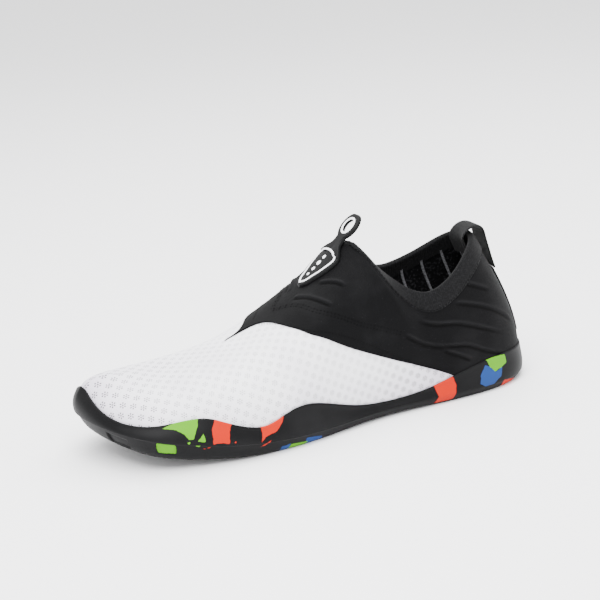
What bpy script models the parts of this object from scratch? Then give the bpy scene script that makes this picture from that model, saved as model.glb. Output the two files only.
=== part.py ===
"""Water shoe for the left foot.

A stretch sock upper stands in a wrapped rubber cup sole, with a foam insole, a moulded badge and pull ring
on the instep, and a webbing loop and tape at the heel. Metres, +X to the toe, +Y to the outer side, +Z up.
The origin is on the floor under the middle of the heel.

Every curved piece follows one skin: the outer face of the upper. A place on it is (w, v). w runs round the
shoe, 0 at the middle of the heel, 1 at the tip of the toe and back to 2 at the heel, first along the outer
side. v runs from 0 at the sole to 1 at the top line, which is the collar's edge and then the instep's ridge.
"""

from collections import namedtuple
import math

import bmesh
import bpy
from mathutils import Matrix, Vector
import numpy as np

# Driving sizes of the last
LENGTH = 0.270
BALL_WIDTH = 0.098
HEEL_WIDTH = 0.066
HEEL_HEIGHT = 0.0885
INSTEP_HEIGHT = 0.0975
HEEL_BACK = 0.034          # the heel's back lies this far behind the origin
TOE_SPRING = 0.0172
WAIST_LIFT = 0.0010

# Sole
PLATE = 0.0045
RIM_WALL = 0.0014
BASE_WALL = 0.0034
RIM_HEIGHT = 0.0240
STEP_HEIGHT = 0.0105
STEP_DEPTH = 0.0007
BEVEL = 0.0045
GROOVE_WIDTH = 0.0024
GROOVE_DEPTH = 0.0014
GROOVE_MARGIN = 0.0080
PORT_DEPTH = 0.0010

# Insole and upper
INSOLE = 0.0035
UPPER_WALL = 0.0018
PANEL_STEP = 0.0008
CUFF_STEP = 0.0007
CUFF_WIDTH = 0.011
STEP_RUN = 0.0009
SKIN_RISE = 0.8            # typical length of the upper's side, as a share of HEEL_HEIGHT

# Badge, ring, loop and tape
BADGE_WIDTH = 0.0250
BADGE_WALL = 0.0019
BADGE_TIP = 0.0290         # ahead of the throat
BADGE_TOP = 0.0085
RING_RADIUS = 0.0085
RING_HOLE = 0.0043
RING_BACK = 0.0045         # the ring's centre lies this far behind the throat and above it
RING_RISE = 0.0072
WEBBING_WIDTH = 0.016
WEBBING_WALL = 0.0015
LOOP_DROP = 0.022          # from the collar's edge down to the loop's sewn end
TAPE_WALL = 0.0008
TAPE_CLEARANCE = 0.0012    # between the tape's top and the loop's end

GAP = 0.0003
WELD = 0.00002

# Outline of the sole: along is a share of LENGTH, aside a share of the half width of heel or ball
Outline = namedtuple("Outline", "place along aside")
OUTER_OUTLINE = [
    Outline(0.00, 0.000, 0.00),
    Outline(0.07, 0.030, 0.61),
    Outline(0.17, 0.130, 1.00),
    Outline(0.28, 0.260, 1.03),
    Outline(0.40, 0.393, 0.92),
    Outline(0.51, 0.526, 0.94),
    Outline(0.61, 0.637, 1.00),
    Outline(0.71, 0.744, 1.01),
    Outline(0.80, 0.848, 0.92),
    Outline(0.90, 0.940, 0.64),
    Outline(1.00, 1.000, -0.17),
]
INNER_OUTLINE = [
    Outline(0.07, 0.030, -0.58),
    Outline(0.17, 0.130, -0.97),
    Outline(0.28, 0.259, -0.86),
    Outline(0.40, 0.393, -0.72),
    Outline(0.51, 0.515, -0.77),
    Outline(0.61, 0.622, -0.87),
    Outline(0.71, 0.733, -0.94),
    Outline(0.80, 0.833, -0.90),
    Outline(0.90, 0.952, -0.70),
]

# Edge of the collar, from the heel to the throat: rise is a share of HEEL_HEIGHT, and near the throat of
# INSTEP_HEIGHT
Collar = namedtuple("Collar", "place along aside rise")
OUTER_COLLAR = [
    Collar(0.00, 0.108, 0.00, 1.000),
    Collar(0.12, 0.121, 0.31, 0.985),
    Collar(0.25, 0.150, 0.54, 0.925),
    Collar(0.37, 0.186, 0.68, 0.838),
    Collar(0.48, 0.222, 0.77, 0.776),
    Collar(0.58, 0.259, 0.81, 0.745),
    Collar(0.68, 0.296, 0.78, 0.760),
    Collar(0.78, 0.330, 0.69, 0.805),
    Collar(0.88, 0.365, 0.53, 0.876),
    Collar(0.95, 0.390, 0.30, 0.959),
    Collar(1.00, 0.402, 0.00, 1.000),
]
INNER_COLLAR = [
    Collar(0.12, 0.121, -0.31, 0.985),
    Collar(0.25, 0.150, -0.54, 0.935),
    Collar(0.37, 0.186, -0.69, 0.870),
    Collar(0.48, 0.222, -0.79, 0.820),
    Collar(0.58, 0.259, -0.84, 0.790),
    Collar(0.68, 0.296, -0.81, 0.792),
    Collar(0.78, 0.330, -0.71, 0.824),
    Collar(0.88, 0.365, -0.53, 0.885),
    Collar(0.95, 0.390, -0.30, 0.959),
]

# Ridge of the instep, from the throat to the toe box: rise is a share of INSTEP_HEIGHT
Ridge = namedtuple("Ridge", "place along aside rise")
RIDGE = [
    Ridge(0.00, 0.402, 0.00, 1.000),
    Ridge(0.16, 0.465, -0.01, 0.855),
    Ridge(0.34, 0.550, -0.04, 0.695),
    Ridge(0.52, 0.650, -0.09, 0.560),
    Ridge(0.70, 0.750, -0.13, 0.480),
    Ridge(0.86, 0.840, -0.15, 0.443),
    Ridge(1.00, 0.924, -0.16, 0.466),
]

# Sections from sole to top line: flare and roll are the angles at the two ends, low and high the fullness
Section = namedtuple("Section", "place flare low high roll")
OUTER_SECTIONS = [
    Section(0.00, 14, 0.90, 0.90, 62),
    Section(0.17, 6, 0.80, 0.90, 66),
    Section(0.28, 2, 0.80, 0.90, 66),
    Section(0.40, 2, 0.90, 0.90, 40),
    Section(0.61, 8, 0.90, 1.00, 0),
    Section(0.80, 10, 1.00, 1.10, 0),
    Section(0.90, 10, 1.40, 1.15, 0),
    Section(1.00, 22, 2.25, 1.40, 0),
]
INNER_SECTIONS = [
    Section(0.17, 6, 0.80, 0.90, 66),
    Section(0.28, 0, 0.80, 0.90, 66),
    Section(0.40, 0, 0.90, 0.90, 40),
    Section(0.61, 4, 0.90, 1.05, 0),
    Section(0.80, 6, 0.95, 1.00, 0),
    Section(0.90, 6, 1.60, 1.20, 0),
]
THROAT = 0.415             # place of the throat along the half loop
ROLL_FADE = 0.26
COLLAR_DIP = 0.259         # the collar's lowest place, as a share of LENGTH
COLLAR_EASE = 0.35         # spreads the collar's columns towards the throat
RIDGE_EVEN = 0.45          # share of the ridge's columns that are evenly spaced
SPREAD = 0.09              # how far neighbouring sections are eased into each other below the throat
SPREAD_WEIGHTS = {-1.0: 0.06, -0.66: 0.13, -0.33: 0.2, 0.0: 0.22, 0.33: 0.2, 0.66: 0.13, 1.0: 0.06}

# Side of the sole: rim is the wrapped edge as a share of RIM_HEIGHT, step a share of STEP_HEIGHT,
# bevel a share of BEVEL
Side = namedtuple("Side", "place rim step bevel")
SOLE_SIDE = [
    Side(0.00, 0.78, 0.45, 0.70),
    Side(0.17, 0.80, 0.42, 0.70),
    Side(0.24, 0.62, 0.40, 0.70),
    Side(0.31, 0.41, 0.40, 0.70),
    Side(0.38, 0.34, 0.42, 0.75),
    Side(0.44, 0.43, 0.48, 0.80),
    Side(0.49, 0.65, 0.56, 0.85),
    Side(0.555, 0.91, 0.66, 0.90),
    Side(0.605, 0.90, 0.75, 1.00),
    Side(0.655, 0.69, 0.83, 1.00),
    Side(0.70, 0.73, 0.90, 1.00),
    Side(0.735, 0.84, 0.94, 1.00),
    Side(0.77, 0.94, 0.97, 1.00),
    Side(0.81, 0.89, 1.00, 1.00),
    Side(0.85, 0.75, 1.00, 1.00),
    Side(0.90, 0.63, 1.00, 1.00),
    Side(0.95, 0.71, 1.00, 1.00),
    Side(1.00, 1.03, 1.00, 1.00),
]

# Lower edge of the stretch quarter over the mesh vamp, as height v at each place
Seam = namedtuple("Seam", "place height")
VAMP_SEAM = [
    Seam(0.20, 0.02),
    Seam(0.24, 0.18),
    Seam(0.28, 0.27),
    Seam(0.33, 0.29),
    Seam(0.40, 0.31),
    Seam(0.45, 0.345),
    Seam(0.50, 0.40),
    Seam(0.55, 0.47),
    Seam(0.60, 0.55),
    Seam(0.65, 0.655),
    Seam(0.70, 0.81),
    Seam(0.735, 0.95),
    Seam(0.77, 1.00),
]
SEAM_FORWARD = 0.035       # how much nearer the toe the seam meets the ridge on the inner side

# Badge plate and neck: along is a share of the badge's path, half a share of BADGE_WIDTH / 2
Badge = namedtuple("Badge", "along half")
BADGE_OUTLINE = [
    Badge(0.00, 0.10),
    Badge(0.03, 0.32),
    Badge(0.10, 0.52),
    Badge(0.22, 0.76),
    Badge(0.34, 0.94),
    Badge(0.42, 1.00),
    Badge(0.48, 0.96),
    Badge(0.54, 0.72),
    Badge(0.60, 0.44),
    Badge(0.67, 0.36),
    Badge(0.76, 0.40),
    Badge(0.84, 0.40),
    Badge(1.00, 0.00),
]

# Loop: along and up are shares of LOOP_DROP from the collar's edge at the heel, curl is how far the webbing's
# edges lie ahead of its middle
Loop = namedtuple("Loop", "along up curl")
HEEL_LOOP = [
    Loop(0.065, -0.545, 0.145),
    Loop(0.175, -0.273, 0.140),
    Loop(0.234, 0.000, 0.116),
    Loop(0.165, 0.155, 0.035),
    Loop(-0.030, 0.227, 0.000),
    Loop(-0.235, 0.164, 0.000),
    Loop(-0.348, -0.091, 0.009),
    Loop(-0.466, -0.455, 0.035),
    Loop(-0.566, -0.773, 0.052),
    Loop(-0.648, -1.000, 0.064),
]
TAPE_LOW = 0.25

# Flex grooves, as shares of LENGTH; ports in the sole's side: place, low and high edge, half length
GROOVES = [0.09, 0.14, 0.19, 0.56, 0.61, 0.66, 0.71, 0.76, 0.81]
Port = namedtuple("Port", "place low high half")
PORTS = [
    Port(0.843, 0.0022, 0.0078, 0.0062),
    Port(0.922, -0.0030, 0.0066, 0.0068),
]

# Rows of the cup's inner wall, as shares of the rim's height
INNER_WALL_ROWS = (0.0, 0.3, 0.5, 0.65, 0.78, 0.9, 1.0)
# Rows of its outer side, as shares of the way down to the step
OUTER_WALL_ROWS = (0.25, 0.6, 1.0)
RIM_LIP = 0.012            # how far the rim's outer edge lies under its inner edge, in v
RIM_CLEAR = 0.006          # how far over the rim the upper's steps begin, in v
BEVEL_SHAPE = {0.42: 0.40, 0.78: 0.10}     # share of the bevel's run inwards: share of the step's height left
LEDGE_ROW = 3 + len(INNER_WALL_ROWS) + len(OUTER_WALL_ROWS)
PORT_BOX = 0.004
PORT_PROUD = 0.0004

# Counts of columns and rows
UPPER_COLUMNS = 42
UPPER_ROWS = 9
SOLE_COLUMNS = 42
LOOP_SEGMENTS = 22
PLATE_COLUMNS = 11
PLATE_ROWS = 9
NECK_COLUMNS = 12
NECK_FADE = 4              # columns over which the neck loses the plate's curve
WEBBING_ROWS = 7
TAPE_COLUMNS = 10
CYLINDER_SIDES = 24


class Spline:
    """Cubic spline through rows of values. With a span it closes: the last row runs on into the first."""

    def __init__(self, knots, rows, span=None):
        self.knots = np.array(knots, float)
        self.rows = np.array(rows, float)
        self.span = span
        if span:
            self.knots = np.append(self.knots, self.knots[0] + span)
            self.rows = np.vstack([self.rows, self.rows[:1]])
        count = len(self.knots)
        step = np.diff(self.knots)
        slope = np.diff(self.rows, axis=0) / step[:, None]
        matrix = np.zeros((count, count))
        right = np.zeros_like(self.rows)
        for i in range(1, count - 1):
            matrix[i, i - 1:i + 2] = step[i - 1], 2 * (step[i - 1] + step[i]), step[i]
            right[i] = 6 * (slope[i] - slope[i - 1])
        if span:
            matrix[0, [0, 1, -2]] = 2 * (step[0] + step[-1]), step[0], step[-1]
            right[0] = 6 * (slope[0] - slope[-1])
            matrix[-1, [0, -1]] = 1, -1
        else:
            matrix[0, 0] = matrix[-1, -1] = 1
        self.bend = np.linalg.solve(matrix, right)

    def __call__(self, at):
        at = np.asarray(at, float)
        if self.span:
            at = self.knots[0] + (at - self.knots[0]) % self.span
        i = np.clip(np.searchsorted(self.knots, at, side="right") - 1, 0, len(self.knots) - 2)
        width = (self.knots[i + 1] - self.knots[i])[..., None]
        after = (at - self.knots[i])[..., None]
        before = width - after
        curve = (self.bend[i] * before ** 3 + self.bend[i + 1] * after ** 3) / (6 * width)
        first = (self.rows[i] / width - self.bend[i] * width / 6) * before
        last = (self.rows[i + 1] / width - self.bend[i + 1] * width / 6) * after
        return curve + first + last


def loop_spline(outer, inner):
    """Closed spline over w from the rows of the outer and the inner side."""
    rows = [tuple(row) for row in outer]
    rows += [(2 - row.place,) + tuple(row[1:]) for row in reversed(inner)]
    table = np.array(rows, float)
    return Spline(table[:, 0], table[:, 1:], span=2.0)


def row_spline(rows):
    table = np.array(rows, float)
    return Spline(table[:, 0], table[:, 1:])


OUTLINE_LOOP = loop_spline(OUTER_OUTLINE, INNER_OUTLINE)
COLLAR_LOOP = loop_spline(OUTER_COLLAR, INNER_COLLAR)
SECTION_LOOP = loop_spline(OUTER_SECTIONS, INNER_SECTIONS)
SIDE_LOOP = loop_spline(SOLE_SIDE, SOLE_SIDE[1:-1])
RIDGE_LINE = row_spline(RIDGE)


def smooth(low, high, value):
    share = np.clip((value - low) / (high - low), 0, 1)
    return share * share * (3 - 2 * share)


def columns_of(values):
    return np.moveaxis(values, -1, 0)


def half_place(w):
    """Place along the half loop, 0 at the heel and 1 at the toe, on either side."""
    w = np.asarray(w, float) % 2.0
    return np.where(w <= 1, w, 2 - w)


def half_width(along):
    """The half width that shares are taken of: the heel's behind the waist, the ball's in front of it."""
    return (HEEL_WIDTH + (BALL_WIDTH - HEEL_WIDTH) * smooth(0.185, 0.63, along)) / 2


def floor_height(x):
    """Height of the tread: flat under heel and ball, a little lifted at the waist, sprung at the toe."""
    along = (x + HEEL_BACK) / LENGTH
    spring = TOE_SPRING * (np.clip(along - 0.61, 0, 1) / 0.39) ** 2
    waist = WAIST_LIFT * smooth(0.22, 0.34, along) * (1 - smooth(0.40, 0.55, along))
    return spring + waist


def outline(w):
    along, aside = columns_of(OUTLINE_LOOP(w))
    return np.stack([along * LENGTH - HEEL_BACK, aside * half_width(along)], -1)


def outward(w):
    """Unit direction in plan that points out of the outline."""
    step = 1e-4
    run = outline(w + step) - outline(w - step)
    run /= np.linalg.norm(run, axis=-1, keepdims=True)
    return np.stack([-run[..., 1], run[..., 0]], -1)


def on_floor(plan, height):
    """Points over plan places, at a height above the tread."""
    z = floor_height(plan[..., 0]) + height
    return np.concatenate([plan, z[..., None]], -1)


def feather(w):
    """Foot of the skin, on top of the sole's plate."""
    return on_floor(outline(w) - (BASE_WALL + GAP) * outward(w), PLATE + GAP)


def ridge(place):
    along, aside, rise = columns_of(RIDGE_LINE(place))
    return np.stack([along * LENGTH - HEEL_BACK, aside * BALL_WIDTH / 2, rise * INSTEP_HEIGHT], -1)


def collar(place):
    along, aside, rise = columns_of(COLLAR_LOOP(place))
    height = HEEL_HEIGHT + (INSTEP_HEIGHT - HEEL_HEIGHT) * smooth(COLLAR_DIP, RIDGE[0].along, along)
    return np.stack([along * LENGTH - HEEL_BACK, aside * HEEL_WIDTH / 2, rise * height], -1)


def crown(w):
    """Top line: the collar's edge behind the throat, the ridge in front of it."""
    place = half_place(w)
    back = np.clip(place / THROAT, 0, 1)
    back = back + COLLAR_EASE * (back ** 2 - back ** 3)
    back = np.where(np.asarray(w, float) % 2.0 <= 1, back, 2 - back)
    front = np.clip((place - THROAT) / (1 - THROAT), 0, 1)
    front = RIDGE_EVEN * front + (1 - RIDGE_EVEN) * (1 - np.cos(front * np.pi / 2))
    return np.where((place < THROAT)[..., None], collar(back), ridge(front))


def ridge_slope(w):
    """Rise of the ridge for a step towards the toe; behind the throat it keeps the throat's slope."""
    step = 1e-3
    place = half_place(w)
    run = crown(np.clip(place + step, THROAT + step, 1)) - crown(np.clip(place - step, THROAT, 1 - step))
    return run[..., 2] / run[..., 0]


def section(w, v):
    """Point of one section: a cubic from the sole to the top line."""
    start = feather(w)
    end = crown(w)
    out = outward(w)
    flare, low, high, roll = columns_of(SECTION_LOOP(w))
    flare = np.radians(flare)
    roll = np.radians(roll) * (1 - smooth(ROLL_FADE, THROAT, half_place(w)))
    first = np.concatenate([out * np.sin(flare)[..., None], np.cos(flare)[..., None]], -1)
    along_ridge = -out[..., 0] * ridge_slope(w) * smooth(ROLL_FADE, THROAT, half_place(w))
    last = np.concatenate([-out * np.cos(roll)[..., None], (np.sin(roll) + along_ridge)[..., None]], -1)
    last /= np.linalg.norm(last, axis=-1, keepdims=True)
    chord = np.linalg.norm(end - start, axis=-1)
    first = first * (low * chord)[..., None]
    last = last * (high * chord)[..., None]
    v = v[..., None]
    ends = (2 * v ** 3 - 3 * v ** 2 + 1) * start + (3 * v ** 2 - 2 * v ** 3) * end
    return ends + (v ** 3 - 2 * v ** 2 + v) * first + (v ** 3 - v ** 2) * last


def skin(w, v):
    """Outer face of the last: the sections, eased into each other below the throat."""
    w, v = np.broadcast_arrays(np.asarray(w, float), np.asarray(v, float))
    reach = SPREAD * (1 - smooth(0.55, 1.0, v)) * smooth(0, 0.25, v)
    reach = reach * (1 - smooth(0.06, 0.16, np.abs(half_place(w) - THROAT)))
    return sum(weight * section(w + share * reach, v) for share, weight in SPREAD_WEIGHTS.items())


def normal(w, v):
    step = 1e-3
    below = np.where(np.abs(half_place(w) - 1) < 2 * step, np.minimum(v, 0.98), v)
    across = skin(w + step, below) - skin(w - step, below)
    up = skin(w, np.minimum(v + step, 1)) - skin(w, np.maximum(v - step, 0))
    out = np.cross(up, across)
    return out / np.linalg.norm(out, axis=-1, keepdims=True)


def lifted(w, v, lift):
    """Skin moved out along its normal."""
    w, v, lift = np.broadcast_arrays(np.asarray(w, float), np.asarray(v, float), np.asarray(lift, float))
    return skin(w, v) + lift[..., None] * normal(w, v)


def height_to_v(w, height):
    """v at which the skin stands at a height above the tread."""
    low = np.zeros_like(w)
    high = np.full_like(w, 0.8)
    for _ in range(30):
        middle = (low + high) / 2
        point = skin(w, middle)
        below = point[..., 2] - floor_height(point[..., 0]) < height
        low = np.where(below, middle, low)
        high = np.where(below, high, middle)
    return (low + high) / 2


def lay_grid(mesh, points):
    """Add a grid of faces whose corners lie at the points, an array of columns by rows."""
    columns, rows = points.shape[:2]
    made = bmesh.ops.create_grid(mesh, x_segments=columns - 1, y_segments=rows - 1, size=1.0)["verts"]
    for vert in made:
        i = round((vert.co.x + 1) / 2 * (columns - 1))
        j = round((vert.co.y + 1) / 2 * (rows - 1))
        vert.co = points[i, j]
    return made


def weld(mesh):
    bmesh.ops.remove_doubles(mesh, verts=mesh.verts, dist=WELD)
    bmesh.ops.dissolve_degenerate(mesh, edges=mesh.edges, dist=WELD / 2)
    bmesh.ops.recalc_face_normals(mesh, faces=mesh.faces)


def to_object(mesh, name, material):
    data = bpy.data.meshes.new(name)
    mesh.to_mesh(data)
    mesh.free()
    made = bpy.data.objects.new(name, data)
    data.materials.append(material)
    data.shade_smooth()
    data.set_sharp_from_angle(angle=math.radians(40))
    PART.objects.link(made)
    return made


def finish(name, color, roughness):
    material = bpy.data.materials.new(name)
    material.use_nodes = True
    shader = material.node_tree.nodes["Principled BSDF"]
    shader.inputs["Base Color"].default_value = (*color, 1)
    shader.inputs["Roughness"].default_value = roughness
    shader.inputs["Metallic"].default_value = 0
    return material


def loop_places(count):
    """Places w all round, with columns at the throat on both sides."""
    side = np.unique(np.round(np.append(np.linspace(0, 1, count + 1), THROAT), 6))
    near = np.abs(side - THROAT) < 0.4 / count
    side = side[~near | (side == THROAT)]
    return np.concatenate([side, 2 - side[-2::-1]])


def solid_band(points):
    """Closed solid from a grid whose rows run over it from the middle line to the middle line."""
    mesh = bmesh.new()
    lay_grid(mesh, points)
    weld(mesh)
    return mesh


def mirror_mean(points):
    """Middle line between each column and the column opposite it."""
    return (points + points[::-1]) / 2


def sole_rows(w):
    """Rows of the cup: plate top, up the inner wall, over the rim, down the side, bevel, tread."""
    rim, step, bevel = columns_of(SIDE_LOOP(w))
    step = step * STEP_HEIGHT
    out = outward(w)
    rim_v = height_to_v(w, rim * RIM_HEIGHT)
    step_v = height_to_v(w, np.maximum(step, PLATE + 2 * GAP))
    corner = on_floor(outline(w) - BASE_WALL * out, PLATE)
    middle = mirror_mean(corner)
    rows = [middle, corner]
    for share in INNER_WALL_ROWS:
        rows.append(lifted(w, share * rim_v, GAP))
    rows.append(lifted(w, rim_v - RIM_LIP, GAP + RIM_WALL))
    for share in OUTER_WALL_ROWS:
        wall = RIM_WALL + (BASE_WALL - RIM_WALL) * smooth(0, 1, np.full_like(w, share))
        rows.append(lifted(w, rim_v + (step_v - rim_v) * share, GAP + wall))
    side = rows[-1]
    foot = outline(w) - (STEP_DEPTH + BEVEL * bevel)[:, None] * out
    ledge = side[:, :2] - STEP_DEPTH * out
    rows.append(on_floor(ledge, step - STEP_DEPTH))
    for run, left in BEVEL_SHAPE.items():
        rows.append(on_floor(ledge + run * (foot - ledge), left * step))
    rows.append(on_floor(foot, 0))
    rows.append(mirror_mean(rows[-1]))
    return np.stack(rows, axis=1)


def cutter(name, boxes):
    """One object of boxes; each is a centre, three half sizes and a turn."""
    mesh = bmesh.new()
    for center, halves, turn in boxes:
        place = Matrix.Translation(center) @ turn @ Matrix.Diagonal((*[2 * half for half in halves], 1))
        bmesh.ops.create_cube(mesh, size=1.0, matrix=place)
    data = bpy.data.meshes.new(name)
    mesh.to_mesh(data)
    mesh.free()
    made = bpy.data.objects.new(name, data)
    made.hide_render = True
    made.display_type = "WIRE"
    CUTTERS.objects.link(made)
    return made


def cut(piece, tool):
    boolean = piece.modifiers.new("cut " + tool.name, "BOOLEAN")
    boolean.operation = "DIFFERENCE"
    boolean.solver = "EXACT"
    boolean.object = tool


def groove_boxes():
    """Flex grooves across the tread, each tilted with the floor under it."""
    boxes = []
    places = np.linspace(0, 1, 400)
    for along in GROOVES:
        x = along * LENGTH - HEEL_BACK
        edges = []
        for side in (places, 2 - places):
            line = outline(side)
            edges.append(np.interp(x, line[:, 0], line[:, 1]))
        outer, inner = edges[0] - GROOVE_MARGIN, edges[1] + GROOVE_MARGIN
        slope = float(floor_height(x + 0.001) - floor_height(x - 0.001)) / 0.002
        turn = Matrix.Rotation(-math.atan(slope), 4, "Y")
        center = Vector((x, (outer + inner) / 2, float(floor_height(x))))
        boxes.append((center, (GROOVE_WIDTH / 2, (outer - inner) / 2, GROOVE_DEPTH), turn))
    return boxes


def port_boxes():
    """Shallow windows in the bevel of the sole's side, on both sides of the toe."""
    boxes = []
    for port in PORTS:
        for w in (port.place, 2 - port.place):
            at = np.array([w])
            rows = sole_rows(np.array([w, 2 - w]))[0]
            ledge, foot = rows[LEDGE_ROW], rows[LEDGE_ROW + len(BEVEL_SHAPE) + 1]
            out = outward(at)[0]
            run = foot - ledge
            share = ((port.low + port.high) / 2) / (ledge[2] - foot[2])
            center = foot - run * share
            up = Vector(ledge - foot).normalized()
            along = Vector((-out[1], out[0], 0))
            face = along.cross(up).normalized()
            if face.dot(Vector((*out, 0))) < 0:
                face = -face
            turn = Matrix((along, up, face)).transposed().to_4x4()
            center = Vector(center) + face * (PORT_BOX - PORT_DEPTH - PORT_PROUD)
            boxes.append((center, (port.half, (port.high - port.low) / 2, PORT_BOX), turn))
    return boxes


def make_outsole(material):
    w = loop_places(SOLE_COLUMNS)
    sole = to_object(solid_band(sole_rows(w)), "outsole", material)
    cut(sole, cutter("flex_grooves", groove_boxes()))
    cut(sole, cutter("side_ports", port_boxes()))
    return sole


def make_insole(material):
    w = loop_places(SOLE_COLUMNS // 2)
    edge = outline(w) - (BASE_WALL + UPPER_WALL + 3 * GAP) * outward(w)
    top = on_floor(edge, PLATE + GAP + INSOLE)
    bottom = on_floor(edge, PLATE + GAP)
    points = np.stack([mirror_mean(top), top, bottom, mirror_mean(bottom)], axis=1)
    return to_object(solid_band(points), "insole", material)


def cut_line(mesh, places, heights):
    """Split the flat sheet of (w, v) faces along a line given by its height at each column."""
    for left, right, start, end in zip(places, places[1:], heights, heights[1:]):
        if max(start, end) < 0 or min(start, end) > 1:
            continue
        faces = [face for face in mesh.faces if left < face.calc_center_median().x < right]
        edges = {edge for face in faces for edge in face.edges}
        verts = {vert for face in faces for vert in face.verts}
        bmesh.ops.bisect_plane(mesh, geom=[*faces, *edges, *verts], dist=1e-6, plane_co=(left, start, 0),
                               plane_no=(start - end, right - left, 0))


def seam_height(w):
    """v of the quarter's lower edge at a place, above 1 in front of its last row."""
    table = np.array(VAMP_SEAM, float)
    place = half_place(w)
    place = place - np.where(np.asarray(w) % 2.0 > 1, SEAM_FORWARD * smooth(0.45, table[-1, 0], place), 0)
    beyond = np.maximum(place - table[-1, 0], 0) * 20
    before = np.minimum(place - table[0, 0], 0) * 20
    return np.interp(place, table[:, 0], table[:, 1]) + beyond + before


def cuff_height(w):
    """v of the cuff's lower edge: CUFF_WIDTH below the collar, above 1 in front of the throat."""
    place = half_place(w)
    length = np.linalg.norm(skin(w, np.full_like(place, 0.92)) - skin(w, np.ones_like(place)), axis=-1) / 0.08
    return 1 - CUFF_WIDTH / length * (1 - smooth(THROAT - 0.06, THROAT, place)) + np.maximum(place - THROAT, 0)


def rim_edge(w):
    """v just above the sole's wrapped rim, below which the upper lies flat inside the cup."""
    rim = columns_of(SIDE_LOOP(w))[0]
    return height_to_v(w, rim * RIM_HEIGHT) + RIM_CLEAR


def step_up(v, line, run):
    """0 below a line, 1 above it, across a short run."""
    return np.clip((v - line) / run, 0, 1)


def make_upper(material):
    w = loop_places(UPPER_COLUMNS)
    v = np.linspace(0, 1, UPPER_ROWS + 1)
    flat = np.zeros((len(w), len(v), 3))
    flat[..., 0] = w[:, None]
    flat[..., 1] = v
    mesh = bmesh.new()
    lay_grid(mesh, flat)
    run = STEP_RUN / (HEEL_HEIGHT * SKIN_RISE)
    for height in (seam_height, cuff_height, rim_edge):
        for shift in (0, run):
            cut_line(mesh, w, height(w) + shift)
    thick = mesh.verts.layers.deform.verify()
    verts = list(mesh.verts)
    place = np.array([vert.co.x for vert in verts])
    level = np.array([vert.co.y for vert in verts])
    panel = step_up(level, seam_height(place), run)
    cuff = step_up(level, cuff_height(place), run)
    clear = step_up(level, rim_edge(place), run)
    lift = (PANEL_STEP * panel + CUFF_STEP * cuff) * clear
    for vert, point in zip(verts, lifted(place, level, lift)):
        vert.co = point
    whole = UPPER_WALL + PANEL_STEP + CUFF_STEP
    for vert, extra in zip(verts, lift):
        vert[thick][0] = (UPPER_WALL + extra) / whole
    bmesh.ops.remove_doubles(mesh, verts=mesh.verts, dist=WELD)
    bmesh.ops.dissolve_degenerate(mesh, edges=mesh.edges, dist=WELD / 2)
    bmesh.ops.reverse_faces(mesh, faces=mesh.faces)
    upper = to_object(mesh, "upper", material)
    upper.vertex_groups.new(name="wall")
    shell = upper.modifiers.new("wall", "SOLIDIFY")
    shell.thickness = whole
    shell.offset = -1
    shell.vertex_group = "wall"
    return upper


def badge_frames():
    """Places of the plate's columns along the ridge, from tip to top, and the ring's centre."""
    places = np.linspace(THROAT, 1, 500)
    ridge_x = crown(places)[:, 0]
    throat = ridge(0.0)
    steps = np.linspace(throat[0] + BADGE_TIP, throat[0] + BADGE_TOP, PLATE_COLUMNS)
    ring = throat + np.array([-RING_BACK, 0, RING_RISE])
    return np.interp(steps, ridge_x, places), ring


def make_badge(material):
    plate, ring = badge_frames()
    across = np.linspace(1, -1, PLATE_ROWS)
    base = lifted(plate, np.ones_like(plate), PANEL_STEP + GAP)
    step = 0.02
    speed = np.linalg.norm(skin(plate, np.full_like(plate, 1 - step)) - skin(plate, np.ones_like(plate)), axis=-1)
    speed = speed / step
    lean = ring - base[-1]
    distance = np.linalg.norm(lean)
    lean /= distance
    neck = [base[-1] + lean * reach for reach in np.linspace(0, distance + RING_RADIUS, NECK_COLUMNS + 1)[1:]]
    centers = np.vstack([base, neck])
    run = np.concatenate([[0], np.cumsum(np.linalg.norm(np.diff(centers, axis=0), axis=1))])
    total = run[-1]
    table = np.array(BADGE_OUTLINE, float)
    half = Spline(table[:, 0], table[:, 1:])(run / total)[:, 0] * BADGE_WIDTH / 2
    from_ring = run - (total - RING_RADIUS)
    round_end = np.sqrt(np.clip(RING_RADIUS ** 2 - from_ring ** 2, 0, None))
    half = np.where(from_ring > 0, round_end, np.maximum(half, round_end))
    points = np.zeros((len(centers), len(across), 3))
    offset = half[:, None] * across
    points[:] = centers[:, None]
    points[..., 1] += offset
    near = offset[:len(plate)]
    w = np.where(near >= 0, plate[:, None], 2 - plate[:, None])
    points[:len(plate)] = lifted(w, 1 - np.abs(near) / speed[:, None], PANEL_STEP + GAP)
    top = len(plate)
    for k, keep in enumerate(smooth(0, NECK_FADE + 1, np.arange(1, NECK_FADE + 1))):
        drop = (points[top - 1, :, 2] - points[top - 1, len(across) // 2, 2]) * (1 - keep)
        scale = (half[top + k] / half[top - 1]) ** 2
        points[top + k, :, 2] += drop * scale
    mesh = bmesh.new()
    lay_grid(mesh, points)
    bmesh.ops.remove_doubles(mesh, verts=mesh.verts, dist=WELD)
    badge = to_object(mesh, "badge", material)
    shell = badge.modifiers.new("wall", "SOLIDIFY")
    shell.thickness = BADGE_WALL
    shell.offset = 1
    hole = bmesh.new()
    axis = Vector(lean).cross(Vector((0, 1, 0))).normalized()
    turn = axis.to_track_quat("Z", "Y").to_matrix().to_4x4()
    bmesh.ops.create_cone(hole, cap_ends=True, segments=CYLINDER_SIDES, radius1=RING_HOLE, radius2=RING_HOLE,
                          depth=6 * BADGE_WALL, matrix=Matrix.Translation(ring) @ turn)
    data = bpy.data.meshes.new("ring_hole")
    hole.to_mesh(data)
    hole.free()
    tool = bpy.data.objects.new("ring_hole", data)
    tool.hide_render = True
    tool.display_type = "WIRE"
    CUTTERS.objects.link(tool)
    cut(badge, tool)
    return badge


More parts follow.
